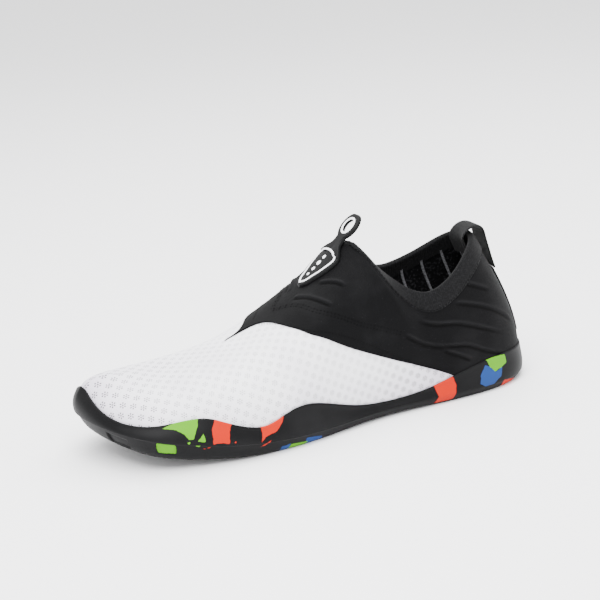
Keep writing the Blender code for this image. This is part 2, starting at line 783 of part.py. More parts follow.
def make_loop(material):
    """Webbing loop: up the inside of the heel, over, and down behind it."""
    table = np.array(HEEL_LOOP, float) * LOOP_DROP
    edge = collar(0.0)
    run = np.concatenate([[0], np.cumsum(np.linalg.norm(np.diff(table[:, :2], axis=0), axis=1))])
    path = Spline(run / run[-1], table)(np.linspace(0, 1, LOOP_SEGMENTS + 1))
    across = np.linspace(-1, 1, WEBBING_ROWS)
    points = np.zeros((len(path), len(across), 3))
    for i, (along, up, curl) in enumerate(path):
        for j, share in enumerate(across):
            points[i, j] = edge[0] + along + curl * share ** 2, share * WEBBING_WIDTH / 2, edge[2] + up
    mesh = bmesh.new()
    lay_grid(mesh, points)
    loop = to_object(mesh, "pull_loop", material)
    shell = loop.modifiers.new("wall", "SOLIDIFY")
    shell.thickness = WEBBING_WALL
    shell.offset = 0
    return loop


def make_tape(material):
    """Tape down the back seam on the upper's outer face, from the loop's end."""
    back = np.linspace(0, 1, 200)
    high = np.interp(HEEL_HEIGHT - LOOP_DROP - TAPE_CLEARANCE, skin(np.zeros_like(back), back)[:, 2], back)
    v = np.linspace(TAPE_LOW, high, TAPE_COLUMNS)
    speed = np.linalg.norm(skin(np.full_like(v, 0.01), v) - skin(np.zeros_like(v), v), axis=-1) / 0.01
    across = np.linspace(1, -1, WEBBING_ROWS)
    points = np.zeros((len(across), len(v), 3))
    for i, share in enumerate(across):
        w = share * WEBBING_WIDTH / 2 / speed
        points[i] = lifted(w, v, PANEL_STEP + GAP)
    mesh = bmesh.new()
    lay_grid(mesh, points)
    tape = to_object(mesh, "heel_tape", material)
    shell = tape.modifiers.new("wall", "SOLIDIFY")
    shell.thickness = TAPE_WALL
    shell.offset = 1
    return tape


def main():
    make_outsole(finish("black_rubber", (0.012, 0.012, 0.013), 0.5))
    make_insole(finish("foam", (0.03, 0.03, 0.032), 0.9))
    make_upper(finish("stretch_fabric", (0.8, 0.8, 0.82), 0.8))
    make_badge(finish("badge_rubber", (0.014, 0.014, 0.015), 0.45))
    webbing = finish("webbing", (0.01, 0.01, 0.011), 0.85)
    make_loop(webbing)
    make_tape(webbing)


for old in list(bpy.data.objects):
    bpy.data.objects.remove(old)
PART = bpy.data.collections.new("water_shoe")
CUTTERS = bpy.data.collections.new("cutters")
bpy.context.scene.collection.children.link(PART)
bpy.context.scene.collection.children.link(CUTTERS)
main()
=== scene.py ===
"""Looks of the left water shoe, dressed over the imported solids.

Every curved piece follows one skin, the outer face of the upper, as the solids do. A place on it is (w, v).
w runs round the shoe, 0 at the middle of the heel, 1 at the tip of the toe and back to 2 at the heel, first
along the outer side. v runs from 0 at the sole to 1 at the top line, which is the collar's edge and then the
instep's ridge. Metres, +X to the toe, +Y to the outer side, +Z up.
"""

from collections import namedtuple
import math

import bmesh
import bpy
from mathutils import Matrix, Vector
import numpy as np


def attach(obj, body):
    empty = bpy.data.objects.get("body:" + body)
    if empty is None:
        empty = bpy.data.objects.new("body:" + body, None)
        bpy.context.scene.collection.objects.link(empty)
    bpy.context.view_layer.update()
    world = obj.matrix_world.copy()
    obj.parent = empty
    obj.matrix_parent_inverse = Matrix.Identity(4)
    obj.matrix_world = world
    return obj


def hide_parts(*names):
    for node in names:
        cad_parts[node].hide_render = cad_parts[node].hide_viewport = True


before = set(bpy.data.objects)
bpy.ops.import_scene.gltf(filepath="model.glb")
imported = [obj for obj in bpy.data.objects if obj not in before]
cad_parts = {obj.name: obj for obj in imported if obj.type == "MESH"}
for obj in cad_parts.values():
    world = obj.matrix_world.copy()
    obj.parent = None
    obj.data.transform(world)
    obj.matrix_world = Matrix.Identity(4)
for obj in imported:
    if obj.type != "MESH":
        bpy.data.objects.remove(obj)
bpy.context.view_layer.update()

MM = 0.001

# Driving sizes of the last
LENGTH = 0.270
BALL_WIDTH = 0.098
HEEL_WIDTH = 0.066
HEEL_HEIGHT = 0.0885
INSTEP_HEIGHT = 0.0975
HEEL_BACK = 0.034          # the heel's back lies this far behind the origin
TOE_SPRING = 0.0172
WAIST_LIFT = 0.0010

# Sole
PLATE = 0.0045
RIM_WALL = 0.0014
BASE_WALL = 0.0034
RIM_HEIGHT = 0.0240
RIM_LIP = 0.010            # roll of the rim's edge, in v
STEP_HEIGHT = 0.0105
STEP_DEPTH = 0.0007
BEVEL = 0.0045
GROOVE_WIDTH = 0.0024
GROOVE_DEPTH = 0.0014
GROOVE_MARGIN = 0.0080
PORT_DEPTH = 0.0010

# Insole and upper
INSOLE = 0.0035
UPPER_WALL = 0.0018
VAMP_WALL = 0.0010
QUARTER_WALL = 0.0006
LINING_WALL = 0.0003
PANEL_STEP = 0.0008
CUFF_STEP = 0.0007
CUFF_WIDTH = 0.011
CUFF_TURN = 0.009          # how far the cuff is turned in at the collar
TUCK_HEIGHT = 0.0006
TUCK_WIDTH = 0.0011

# Badge, ring, loop and tape
BADGE_WIDTH = 0.0250
BADGE_WALL = 0.0019
BADGE_ROUND = 0.0009
BADGE_TIP = 0.0290         # ahead of the throat
BADGE_TOP = 0.0085
RING_RADIUS = 0.0085
RING_HOLE = 0.0043
RING_BACK = 0.0045         # the ring's centre lies this far behind the throat and above it
RING_RISE = 0.0072
KEYLINE = 0.0013
KEYLINE_INSET = 0.0024
WEBBING_WIDTH = 0.016
WEBBING_WALL = 0.0015
LOOP_DROP = 0.022          # from the collar's edge down to the loop's sewn end
TAPE_WALL = 0.0008
TAPE_CLEARANCE = 0.0012    # between the tape's top and the loop's end

GAP = 0.0003
WELD = 0.00002

# Shares of LENGTH, from the heel's back: where the half width goes over from the heel's to the ball's, where
# the waist is lifted and let down again, and where the toe's spring starts
WIDTH_TURN = (0.185, 0.63)
WAIST_UP = (0.22, 0.34)
WAIST_DOWN = (0.40, 0.55)
SPRING_START = 0.61

# Outline of the sole: along is a share of LENGTH, aside a share of the half width of heel or ball
Outline = namedtuple("Outline", "place along aside")
OUTER_OUTLINE = [
    Outline(0.00, 0.000, 0.00),
    Outline(0.07, 0.030, 0.61),
    Outline(0.17, 0.130, 1.00),
    Outline(0.28, 0.260, 1.03),
    Outline(0.40, 0.393, 0.92),
    Outline(0.51, 0.526, 0.94),
    Outline(0.61, 0.637, 1.00),
    Outline(0.71, 0.744, 1.01),
    Outline(0.80, 0.848, 0.92),
    Outline(0.90, 0.940, 0.64),
    Outline(1.00, 1.000, -0.17),
]
INNER_OUTLINE = [
    Outline(0.07, 0.030, -0.58),
    Outline(0.17, 0.130, -0.97),
    Outline(0.28, 0.259, -0.86),
    Outline(0.40, 0.393, -0.72),
    Outline(0.51, 0.515, -0.77),
    Outline(0.61, 0.622, -0.87),
    Outline(0.71, 0.733, -0.94),
    Outline(0.80, 0.833, -0.90),
    Outline(0.90, 0.952, -0.70),
]

# Edge of the collar, from the heel to the throat: rise is a share of HEEL_HEIGHT, and near the throat of
# INSTEP_HEIGHT
Collar = namedtuple("Collar", "place along aside rise")
OUTER_COLLAR = [
    Collar(0.00, 0.108, 0.00, 1.000),
    Collar(0.12, 0.121, 0.31, 0.985),
    Collar(0.25, 0.150, 0.54, 0.925),
    Collar(0.37, 0.186, 0.68, 0.838),
    Collar(0.48, 0.222, 0.77, 0.776),
    Collar(0.58, 0.259, 0.81, 0.745),
    Collar(0.68, 0.296, 0.78, 0.760),
    Collar(0.78, 0.330, 0.69, 0.805),
    Collar(0.88, 0.365, 0.53, 0.876),
    Collar(0.95, 0.390, 0.30, 0.959),
    Collar(1.00, 0.402, 0.00, 1.000),
]
INNER_COLLAR = [
    Collar(0.12, 0.121, -0.31, 0.985),
    Collar(0.25, 0.150, -0.54, 0.935),
    Collar(0.37, 0.186, -0.69, 0.870),
    Collar(0.48, 0.222, -0.79, 0.820),
    Collar(0.58, 0.259, -0.84, 0.790),
    Collar(0.68, 0.296, -0.81, 0.792),
    Collar(0.78, 0.330, -0.71, 0.824),
    Collar(0.88, 0.365, -0.53, 0.885),
    Collar(0.95, 0.390, -0.30, 0.959),
]

# Ridge of the instep, from the throat to the toe box: rise is a share of INSTEP_HEIGHT
Ridge = namedtuple("Ridge", "place along aside rise")
RIDGE = [
    Ridge(0.00, 0.402, 0.00, 1.000),
    Ridge(0.16, 0.465, -0.01, 0.855),
    Ridge(0.34, 0.550, -0.04, 0.695),
    Ridge(0.52, 0.650, -0.09, 0.560),
    Ridge(0.70, 0.750, -0.13, 0.480),
    Ridge(0.86, 0.840, -0.15, 0.443),
    Ridge(1.00, 0.924, -0.16, 0.466),
]

# Sections from sole to top line: flare and roll are the angles at the two ends, low and high the fullness
Section = namedtuple("Section", "place flare low high roll")
OUTER_SECTIONS = [
    Section(0.00, 14, 0.90, 0.90, 62),
    Section(0.17, 6, 0.80, 0.90, 66),
    Section(0.28, 2, 0.80, 0.90, 66),
    Section(0.40, 2, 0.90, 0.90, 40),
    Section(0.61, 8, 0.90, 1.00, 0),
    Section(0.80, 10, 1.00, 1.10, 0),
    Section(0.90, 10, 1.40, 1.15, 0),
    Section(1.00, 22, 2.25, 1.40, 0),
]
INNER_SECTIONS = [
    Section(0.17, 6, 0.80, 0.90, 66),
    Section(0.28, 0, 0.80, 0.90, 66),
    Section(0.40, 0, 0.90, 0.90, 40),
    Section(0.61, 4, 0.90, 1.05, 0),
    Section(0.80, 6, 0.95, 1.00, 0),
    Section(0.90, 6, 1.60, 1.20, 0),
]
THROAT = 0.415             # place of the throat along the half loop
ROLL_FADE = 0.26
COLLAR_DIP = 0.259         # the collar's lowest place, as a share of LENGTH
COLLAR_EASE = 0.35         # spreads the collar's columns towards the throat
RIDGE_EVEN = 0.45          # share of the ridge's columns that are evenly spaced
SPREAD = 0.09              # how far neighbouring sections are eased into each other below the throat
SPREAD_WEIGHTS = {-1.0: 0.06, -0.66: 0.13, -0.33: 0.2, 0.0: 0.22, 0.33: 0.2, 0.66: 0.13, 1.0: 0.06}
SPREAD_FOOT = (0, 0.25)    # v over which the easing sets in, and over which it ends
SPREAD_TOP = (0.55, 1.0)
SPREAD_REACH = (0.06, 0.16)     # distance from the throat, in places, over which it ends
TIP_TOP = 0.98             # v at which the normal at the toe's middle is still clear of the ridge's end
SEARCH_TOP = 0.8           # v under which a height above the tread is looked for, in so many halvings
HALVINGS = 20

# Side of the sole: rim is the wrapped edge as a share of RIM_HEIGHT, step a share of STEP_HEIGHT,
# bevel a share of BEVEL
Side = namedtuple("Side", "place rim step bevel")
SOLE_SIDE = [
    Side(0.00, 0.78, 0.45, 0.70),
    Side(0.17, 0.80, 0.42, 0.70),
    Side(0.24, 0.62, 0.40, 0.70),
    Side(0.31, 0.41, 0.40, 0.70),
    Side(0.38, 0.34, 0.42, 0.75),
    Side(0.44, 0.43, 0.48, 0.80),
    Side(0.49, 0.65, 0.56, 0.85),
    Side(0.555, 0.91, 0.66, 0.90),
    Side(0.605, 0.90, 0.75, 1.00),
    Side(0.655, 0.69, 0.83, 1.00),
    Side(0.70, 0.73, 0.90, 1.00),
    Side(0.735, 0.84, 0.94, 1.00),
    Side(0.77, 0.94, 0.97, 1.00),
    Side(0.81, 0.89, 1.00, 1.00),
    Side(0.85, 0.75, 1.00, 1.00),
    Side(0.90, 0.63, 1.00, 1.00),
    Side(0.95, 0.71, 1.00, 1.00),
    Side(1.00, 1.03, 1.00, 1.00),
]

# Lower edge of the stretch quarter over the mesh vamp, as height v at each place
Seam = namedtuple("Seam", "place height")
VAMP_SEAM = [
    Seam(0.20, 0.02),
    Seam(0.24, 0.18),
    Seam(0.28, 0.27),
    Seam(0.33, 0.29),
    Seam(0.40, 0.31),
    Seam(0.45, 0.345),
    Seam(0.50, 0.40),
    Seam(0.55, 0.47),
    Seam(0.60, 0.55),
    Seam(0.65, 0.655),
    Seam(0.70, 0.81),
    Seam(0.735, 0.95),
    Seam(0.77, 1.00),
]
SEAM_FORWARD = 0.035       # how much nearer the toe the seam meets the ridge on the inner side
SEAM_TURN = 0.45           # place from which the two sides differ
SEAM_END_SLOPE = 20        # v per place in front of the last row and behind the first

# Badge plate and neck: along is a share of the badge's path, half a share of BADGE_WIDTH / 2
Badge = namedtuple("Badge", "along half")
BADGE_OUTLINE = [
    Badge(0.00, 0.10),
    Badge(0.03, 0.32),
    Badge(0.10, 0.52),
    Badge(0.22, 0.76),
    Badge(0.34, 0.94),
    Badge(0.42, 1.00),
    Badge(0.48, 0.96),
    Badge(0.54, 0.72),
    Badge(0.60, 0.44),
    Badge(0.67, 0.36),
    Badge(0.76, 0.40),
    Badge(0.84, 0.40),
    Badge(1.00, 0.00),
]

# White keyline on the plate: along is a share of its own length, half a share of the room inside the edge
Keyline = namedtuple("Keyline", "along half")
KEYLINE_OUTLINE = [
    Keyline(0.00, 0.00),
    Keyline(0.05, 0.20),
    Keyline(0.20, 0.44),
    Keyline(0.40, 0.68),
    Keyline(0.60, 0.87),
    Keyline(0.74, 0.97),
    Keyline(0.83, 0.95),
    Keyline(0.90, 0.80),
    Keyline(0.96, 0.50),
    Keyline(1.00, 0.00),
]
KEYLINE_SPAN = (0.045, 0.520)    # its two ends, as shares of the badge's path

# Round pips down the plate's middle: along is a share of the badge's path
Pip = namedtuple("Pip", "along radius")
PIPS = [
    Pip(0.170, 0.0011),
    Pip(0.250, 0.0014),
    Pip(0.335, 0.0017),
    Pip(0.420, 0.0014),
]

# Loop: along and up are shares of LOOP_DROP from the collar's edge at the heel, curl is how far the webbing's
# edges lie ahead of its middle
Loop = namedtuple("Loop", "along up curl")
HEEL_LOOP = [
    Loop(0.065, -0.545, 0.145),
    Loop(0.175, -0.273, 0.140),
    Loop(0.234, 0.000, 0.116),
    Loop(0.165, 0.155, 0.035),
    Loop(-0.030, 0.227, 0.000),
    Loop(-0.235, 0.164, 0.000),
    Loop(-0.348, -0.091, 0.009),
    Loop(-0.466, -0.455, 0.035),
    Loop(-0.566, -0.773, 0.052),
    Loop(-0.648, -1.000, 0.064),
]
TAPE_LOW = 0.25

# Flex grooves, as shares of LENGTH
GROOVES = [0.09, 0.14, 0.19, 0.56, 0.61, 0.66, 0.71, 0.76, 0.81]


class Spline:
    """Cubic spline through rows of values. With a span it closes: the last row runs on into the first."""

    def __init__(self, knots, rows, span=None):
        self.knots = np.array(knots, float)
        self.rows = np.array(rows, float)
        self.span = span
        if span:
            self.knots = np.append(self.knots, self.knots[0] + span)
            self.rows = np.vstack([self.rows, self.rows[:1]])
        count = len(self.knots)
        step = np.diff(self.knots)
        slope = np.diff(self.rows, axis=0) / step[:, None]
        matrix = np.zeros((count, count))
        right = np.zeros_like(self.rows)
        for i in range(1, count - 1):
            matrix[i, i - 1:i + 2] = step[i - 1], 2 * (step[i - 1] + step[i]), step[i]
            right[i] = 6 * (slope[i] - slope[i - 1])
        if span:
            matrix[0, [0, 1, -2]] = 2 * (step[0] + step[-1]), step[0], step[-1]
            right[0] = 6 * (slope[0] - slope[-1])
            matrix[-1, [0, -1]] = 1, -1
        else:
            matrix[0, 0] = matrix[-1, -1] = 1
        self.bend = np.linalg.solve(matrix, right)

    def __call__(self, at):
        at = np.asarray(at, float)
        if self.span:
            at = self.knots[0] + (at - self.knots[0]) % self.span
        i = np.clip(np.searchsorted(self.knots, at, side="right") - 1, 0, len(self.knots) - 2)
        width = (self.knots[i + 1] - self.knots[i])[..., None]
        after = (at - self.knots[i])[..., None]
        before = width - after
        curve = (self.bend[i] * before ** 3 + self.bend[i + 1] * after ** 3) / (6 * width)
        first = (self.rows[i] / width - self.bend[i] * width / 6) * before
        last = (self.rows[i + 1] / width - self.bend[i + 1] * width / 6) * after
        return curve + first + last


def loop_spline(outer, inner):
    """Closed spline over w from the rows of the outer and the inner side."""
    rows = [tuple(row) for row in outer]
    rows += [(2 - row.place,) + tuple(row[1:]) for row in reversed(inner)]
    table = np.array(rows, float)
    return Spline(table[:, 0], table[:, 1:], span=2.0)


def row_spline(rows):
    table = np.array(rows, float)
    return Spline(table[:, 0], table[:, 1:])


OUTLINE_LOOP = loop_spline(OUTER_OUTLINE, INNER_OUTLINE)
COLLAR_LOOP = loop_spline(OUTER_COLLAR, INNER_COLLAR)
SECTION_LOOP = loop_spline(OUTER_SECTIONS, INNER_SECTIONS)
SIDE_LOOP = loop_spline(SOLE_SIDE, SOLE_SIDE[1:-1])
RIDGE_LINE = row_spline(RIDGE)
SEAM_LINE = row_spline(VAMP_SEAM)
BADGE_LINE = row_spline(BADGE_OUTLINE)
KEYLINE_LINE = row_spline(KEYLINE_OUTLINE)


def smooth(low, high, value):
    share = np.clip((value - low) / (high - low), 0, 1)
    return share * share * (3 - 2 * share)


def columns_of(values):
    return np.moveaxis(values, -1, 0)


def unit(vectors):
    return vectors / np.linalg.norm(vectors, axis=-1, keepdims=True)


def half_place(w):
    """Place along the half loop, 0 at the heel and 1 at the toe, on either side."""
    w = np.asarray(w, float) % 2.0
    return np.where(w <= 1, w, 2 - w)


def half_width(along):
    """The half width that shares are taken of: the heel's behind the waist, the ball's in front of it."""
    return (HEEL_WIDTH + (BALL_WIDTH - HEEL_WIDTH) * smooth(*WIDTH_TURN, along)) / 2


def floor_height(x):
    """Height of the tread: flat under heel and ball, a little lifted at the waist, sprung at the toe."""
    along = (x + HEEL_BACK) / LENGTH
    spring = TOE_SPRING * (np.clip(along - SPRING_START, 0, 1) / (1 - SPRING_START)) ** 2
    waist = WAIST_LIFT * smooth(*WAIST_UP, along) * (1 - smooth(*WAIST_DOWN, along))
    return spring + waist


def outline(w):
    """Edge of the sole in plan."""
    along, aside = columns_of(OUTLINE_LOOP(w))
    return np.stack([along * LENGTH - HEEL_BACK, aside * half_width(along)], -1)


def outward(w):
    """Unit direction in plan that points out of the outline."""
    step = 1e-4
    run = unit(outline(w + step) - outline(w - step))
    return np.stack([-run[..., 1], run[..., 0]], -1)


def on_floor(plan, height):
    """Points over plan places, at a height above the tread."""
    z = floor_height(plan[..., 0]) + height
    return np.concatenate([plan, z[..., None]], -1)


def feather(w):
    """Foot of the skin, on top of the sole's plate."""
    return on_floor(outline(w) - (BASE_WALL + GAP) * outward(w), PLATE + GAP)


def ridge(place):
    """Ridge of the instep, from the throat at 0 to the toe at 1."""
    along, aside, rise = columns_of(RIDGE_LINE(place))
    return np.stack([along * LENGTH - HEEL_BACK, aside * BALL_WIDTH / 2, rise * INSTEP_HEIGHT], -1)


def collar(place):
    """Edge of the collar, from the heel at 0 to the throat at 1 and back to the heel at 2."""
    along, aside, rise = columns_of(COLLAR_LOOP(place))
    height = HEEL_HEIGHT + (INSTEP_HEIGHT - HEEL_HEIGHT) * smooth(COLLAR_DIP, RIDGE[0].along, along)
    return np.stack([along * LENGTH - HEEL_BACK, aside * HEEL_WIDTH / 2, rise * height], -1)


def crown(w):
    """Top line: the collar's edge behind the throat, the ridge in front of it."""
    place = half_place(w)
    back = np.clip(place / THROAT, 0, 1)
    back = back + COLLAR_EASE * (back ** 2 - back ** 3)
    back = np.where(np.asarray(w, float) % 2.0 <= 1, back, 2 - back)
    front = np.clip((place - THROAT) / (1 - THROAT), 0, 1)
    front = RIDGE_EVEN * front + (1 - RIDGE_EVEN) * (1 - np.cos(front * np.pi / 2))
    return np.where((place < THROAT)[..., None], collar(back), ridge(front))


def ridge_slope(w):
    """Rise of the ridge for a step towards the toe; behind the throat it keeps the throat's slope."""
    step = 1e-3
    place = half_place(w)
    run = crown(np.clip(place + step, THROAT + step, 1)) - crown(np.clip(place - step, THROAT, 1 - step))
    return run[..., 2] / run[..., 0]


def section(w, v):
    """Point of one section: a cubic from the sole to the top line."""
    start = feather(w)
    end = crown(w)
    out = outward(w)
    flare, low, high, roll = columns_of(SECTION_LOOP(w))
    flare = np.radians(flare)
    roll = np.radians(roll) * (1 - smooth(ROLL_FADE, THROAT, half_place(w)))
    first = np.concatenate([out * np.sin(flare)[..., None], np.cos(flare)[..., None]], -1)
    along_ridge = -out[..., 0] * ridge_slope(w) * smooth(ROLL_FADE, THROAT, half_place(w))
    last = unit(np.concatenate([-out * np.cos(roll)[..., None], (np.sin(roll) + along_ridge)[..., None]], -1))
    chord = np.linalg.norm(end - start, axis=-1)
    first = first * (low * chord)[..., None]
    last = last * (high * chord)[..., None]
    v = v[..., None]
    ends = (2 * v ** 3 - 3 * v ** 2 + 1) * start + (3 * v ** 2 - 2 * v ** 3) * end
    return ends + (v ** 3 - 2 * v ** 2 + v) * first + (v ** 3 - v ** 2) * last


def skin(w, v):
    """Outer face of the last: the sections, eased into each other below the throat."""
    w, v = np.broadcast_arrays(np.asarray(w, float), np.asarray(v, float))
    reach = SPREAD * (1 - smooth(*SPREAD_TOP, v)) * smooth(*SPREAD_FOOT, v)
    reach = reach * (1 - smooth(*SPREAD_REACH, np.abs(half_place(w) - THROAT)))
    return sum(weight * section(w + share * reach, v) for share, weight in SPREAD_WEIGHTS.items())


def normal(w, v):
    """Unit direction out of the skin."""
    step = 1e-3
    below = np.where(np.abs(half_place(w) - 1) < 2 * step, np.minimum(v, TIP_TOP), v)
    across = skin(w + step, below) - skin(w - step, below)
    up = skin(w, np.minimum(v + step, 1)) - skin(w, np.maximum(v - step, 0))
    return unit(np.cross(up, across))


def lifted(w, v, lift):
    """Skin moved out along its normal."""
    w, v, lift = np.broadcast_arrays(np.asarray(w, float), np.asarray(v, float), np.asarray(lift, float))
    return skin(w, v) + lift[..., None] * normal(w, v)


def height_to_v(w, height):
    """v at which the skin stands at a height above the tread."""
    low = np.zeros_like(w)
    high = np.full_like(w, SEARCH_TOP)
    for _ in range(HALVINGS):
        middle = (low + high) / 2
        point = skin(w, middle)
        below = point[..., 2] - floor_height(point[..., 0]) < height
        low = np.where(below, middle, low)
        high = np.where(below, high, middle)
    return (low + high) / 2


def seam_height(w):
    """v of the quarter's lower edge at a place, above 1 in front of its last row."""
    first = VAMP_SEAM[0].place
    last = VAMP_SEAM[-1].place
    place = half_place(w)
    forward = SEAM_FORWARD * smooth(SEAM_TURN, last, place)
    place = place - np.where(np.asarray(w) % 2.0 > 1, forward, 0)
    past = np.maximum(place - last, 0) + np.minimum(place - first, 0)
    return SEAM_LINE(np.clip(place, first, last))[..., 0] + SEAM_END_SLOPE * past


def rim_place(w):
    """v of the edge of the sole's wrapped rim."""
    return height_to_v(w, columns_of(SIDE_LOOP(w))[0] * RIM_HEIGHT)


def arc_length(points):
    """Distance along a line of points from its first."""
    return np.concatenate([[0], np.cumsum(np.linalg.norm(np.diff(points, axis=0), axis=1))])


# Mesh helpers

def lay_grid(mesh, points, fields=None, cloth=None):
    """Add a grid of faces whose corners lie at the points, an array of columns by rows.

    Fields are numbers kept at each corner; cloth is its place on the flat cloth, in millimetres.
    """
    columns, rows = points.shape[:2]
    fields = fields or {}
    layers = {}
    for name in fields:
        layers[name] = mesh.verts.layers.float.get(name) or mesh.verts.layers.float.new(name)
    flat = mesh.loops.layers.uv.get("cloth") or mesh.loops.layers.uv.new("cloth")
    made = bmesh.ops.create_grid(mesh, x_segments=columns - 1, y_segments=rows - 1, size=1.0)["verts"]
    places = {}
    for vert in made:
        i = round((vert.co.x + 1) / 2 * (columns - 1))
        j = round((vert.co.y + 1) / 2 * (rows - 1))
        places[vert] = (i, j)
    for vert, (i, j) in places.items():
        vert.co = points[i, j]
        for name, layer in layers.items():
            vert[layer] = fields[name][i, j]
    if cloth is not None:
        for face in {face for vert in made for face in vert.link_faces}:
            for loop in face.loops:
                loop[flat].uv = cloth[places[loop.vert]]
    return made


def weld(mesh):
    """Join what meets at seams and poles, and drop faces without area."""
    bmesh.ops.remove_doubles(mesh, verts=mesh.verts, dist=WELD)
    bmesh.ops.dissolve_degenerate(mesh, edges=mesh.edges, dist=WELD / 4)


def to_object(mesh, name, finish, crease=40):
    data = bpy.data.meshes.new(name)
    mesh.to_mesh(data)
    mesh.free()
    made = bpy.data.objects.new(name, data)
    data.materials.append(finish.material)
    data.shade_smooth()
    data.set_sharp_from_angle(angle=math.radians(crease))
    bpy.context.scene.collection.objects.link(made)
    return made


def wall(piece, thickness):
    """Give a sheet its thickness, on the side away from its normals."""
    shell = piece.modifiers.new("wall", "SOLIDIFY")
    shell.thickness = thickness
    shell.offset = -1


def dress(piece, node):
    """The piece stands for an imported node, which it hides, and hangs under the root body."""
    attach(piece, "root")
    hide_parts(node)


def cloth_sheet(points, fields, cloth, name, finish, thickness):
    """A sheet of the upper with its outer face at the points."""
    mesh = bmesh.new()
    lay_grid(mesh, points, fields, cloth)
    weld(mesh)
    bmesh.ops.reverse_faces(mesh, faces=mesh.faces)
    sheet = to_object(mesh, name, finish)
    wall(sheet, thickness)
    dress(sheet, "upper")


def closed_piece(mesh, name, finish, node, crease=40):
    """A piece whose faces close once they are welded, facing outward."""
    weld(mesh)
    bmesh.ops.recalc_face_normals(mesh, faces=mesh.faces)
    dress(to_object(mesh, name, finish, crease), node)


def across_speed(w, v, step):
    """Metres of skin for a step of one in w."""
    return np.linalg.norm(skin(w + step, v) - skin(w - step, v), axis=-1) / (2 * step)


def mirror_mean(points):
    """Middle line between each column and the column opposite it."""
    return (points + points[::-1]) / 2


def loop_places(count, denser=()):
    """Places w all round, equal on both sides. Each denser row is a stretch and how many columns it gets."""
    side = np.linspace(0, 1, count + 1)
    for low, high, more in denser:
        side = np.concatenate([side[(side < low) | (side > high)], np.linspace(low, high, more)])
    side = np.unique(np.round(side, 6))
    return np.concatenate([side, 2 - side[-2::-1]])


def nearest(points, line):
    """Distance from each point to a line of points, and the index of the line's nearest point."""
    flat = points.reshape(-1, 3)
    best = np.full(len(flat), np.inf)
    index = np.zeros(len(flat), int)
    for k, place in enumerate(line):
        distance = np.linalg.norm(flat - place, axis=1)
        closer = distance < best
        best[closer] = distance[closer]
        index[closer] = k
    return best.reshape(points.shape[:2]), index.reshape(points.shape[:2])


def skin_line(places, count, lift):
    """Points along a smooth line over the skin, through given places (w, v)."""
    table = np.array(places, float)
    knots = np.linspace(0, 1, len(table))
    run = Spline(knots, table)(np.linspace(0, 1, count))
    return lifted(run[:, 0], run[:, 1], lift), run


def both_sides(places):
    """A line of places on the outer side and the same on the inner side."""
    return [places, [(2 - w, v) for w, v in places]]


# Shader arithmetic

class Field:
    """A value that varies over a surface: a node's socket that takes arithmetic."""

    def __init__(self, finish, socket):
        self.finish = finish
        self.socket = socket

    def math(self, operation, *values):
        return self.finish.node("ShaderNodeMath", {"operation": operation}, dict(enumerate(values)))

    def __add__(self, other):
        return self.math("ADD", self, other)

    def __sub__(self, other):
        return self.math("SUBTRACT", self, other)

    def __rsub__(self, other):
        return self.math("SUBTRACT", other, self)

    def __mul__(self, other):
        return self.math("MULTIPLY", self, other)

    def __truediv__(self, other):
        return self.math("DIVIDE", self, other)

    def __pow__(self, other):
        return self.math("POWER", self, other)

    __radd__ = __add__
    __rmul__ = __mul__

    def fract(self):
        return self.math("FRACT", self)

    def absolute(self):
        return self.math("ABSOLUTE", self)

    def sine(self):
        return self.math("SINE", self)

    def cosine(self):
        return self.math("COSINE", self)

    def turn(self, other):
        return self.math("ARCTAN2", self, other)

    def most(self, other):
        return self.math("MAXIMUM", self, other)

    def ease(self, low, high):
        """0 below low, 1 above high, smooth between."""
        values = {"Value": self, "From Min": low, "From Max": high}
        return self.finish.node("ShaderNodeMapRange", {"interpolation_type": "SMOOTHSTEP"}, values)


class Finish:
    """One material: a Principled shader and the nodes that feed it."""

    def __init__(self, name, **constants):
        self.material = bpy.data.materials.new(name)
        self.material.use_nodes = True
        self.tree = self.material.node_tree
        self.shader = self.tree.nodes["Principled BSDF"]
        for key, value in constants.items():
            self.feed(self.shader.inputs[key.replace("_", " ")], value)

    def feed(self, socket, value):
        if isinstance(value, Field):
            self.tree.links.new(value.socket, socket)
        elif isinstance(value, tuple) and socket.type == "RGBA":
            socket.default_value = (*value, 1)
        else:
            socket.default_value = value

    def node(self, kind, settings=None, values=None, output=0):
        made = self.tree.nodes.new(kind)
        for key, value in (settings or {}).items():
            setattr(made, key, value)
        for key, value in (values or {}).items():
            self.feed(made.inputs[key], value)
        return Field(self, made.outputs[output])

    def set(self, name, value):
        self.feed(self.shader.inputs[name], value)

    def cloth(self):
        """Place on the flat cloth, in millimetres."""
        place = self.node("ShaderNodeUVMap", {"uv_map": "cloth"})
        return self.split(place)

    def split(self, place):
        values = {0: place}
        return tuple(self.node("ShaderNodeSeparateXYZ", None, values, output=k) for k in range(3))

    def place(self):
        return self.node("ShaderNodeTexCoord", output=3)

    def field(self, name):
        return self.node("ShaderNodeAttribute", {"attribute_name": name}, output=2)

    def noise(self, place, scale, detail=2.0):
        values = {"Vector": place, "Scale": scale, "Detail": detail}
        return self.node("ShaderNodeTexNoise", None, values)

    def mix(self, first, second, share):
        """Colour between two colours."""
        values = {0: share, 6: first, 7: second}
        return self.node("ShaderNodeMix", {"data_type": "RGBA"}, values, output=2)

    def relief(self, height):
        """Bump from a height in millimetres."""
        values = {"Height": height, "Distance": MM}
        self.set("Normal", self.node("ShaderNodeBump", None, values))


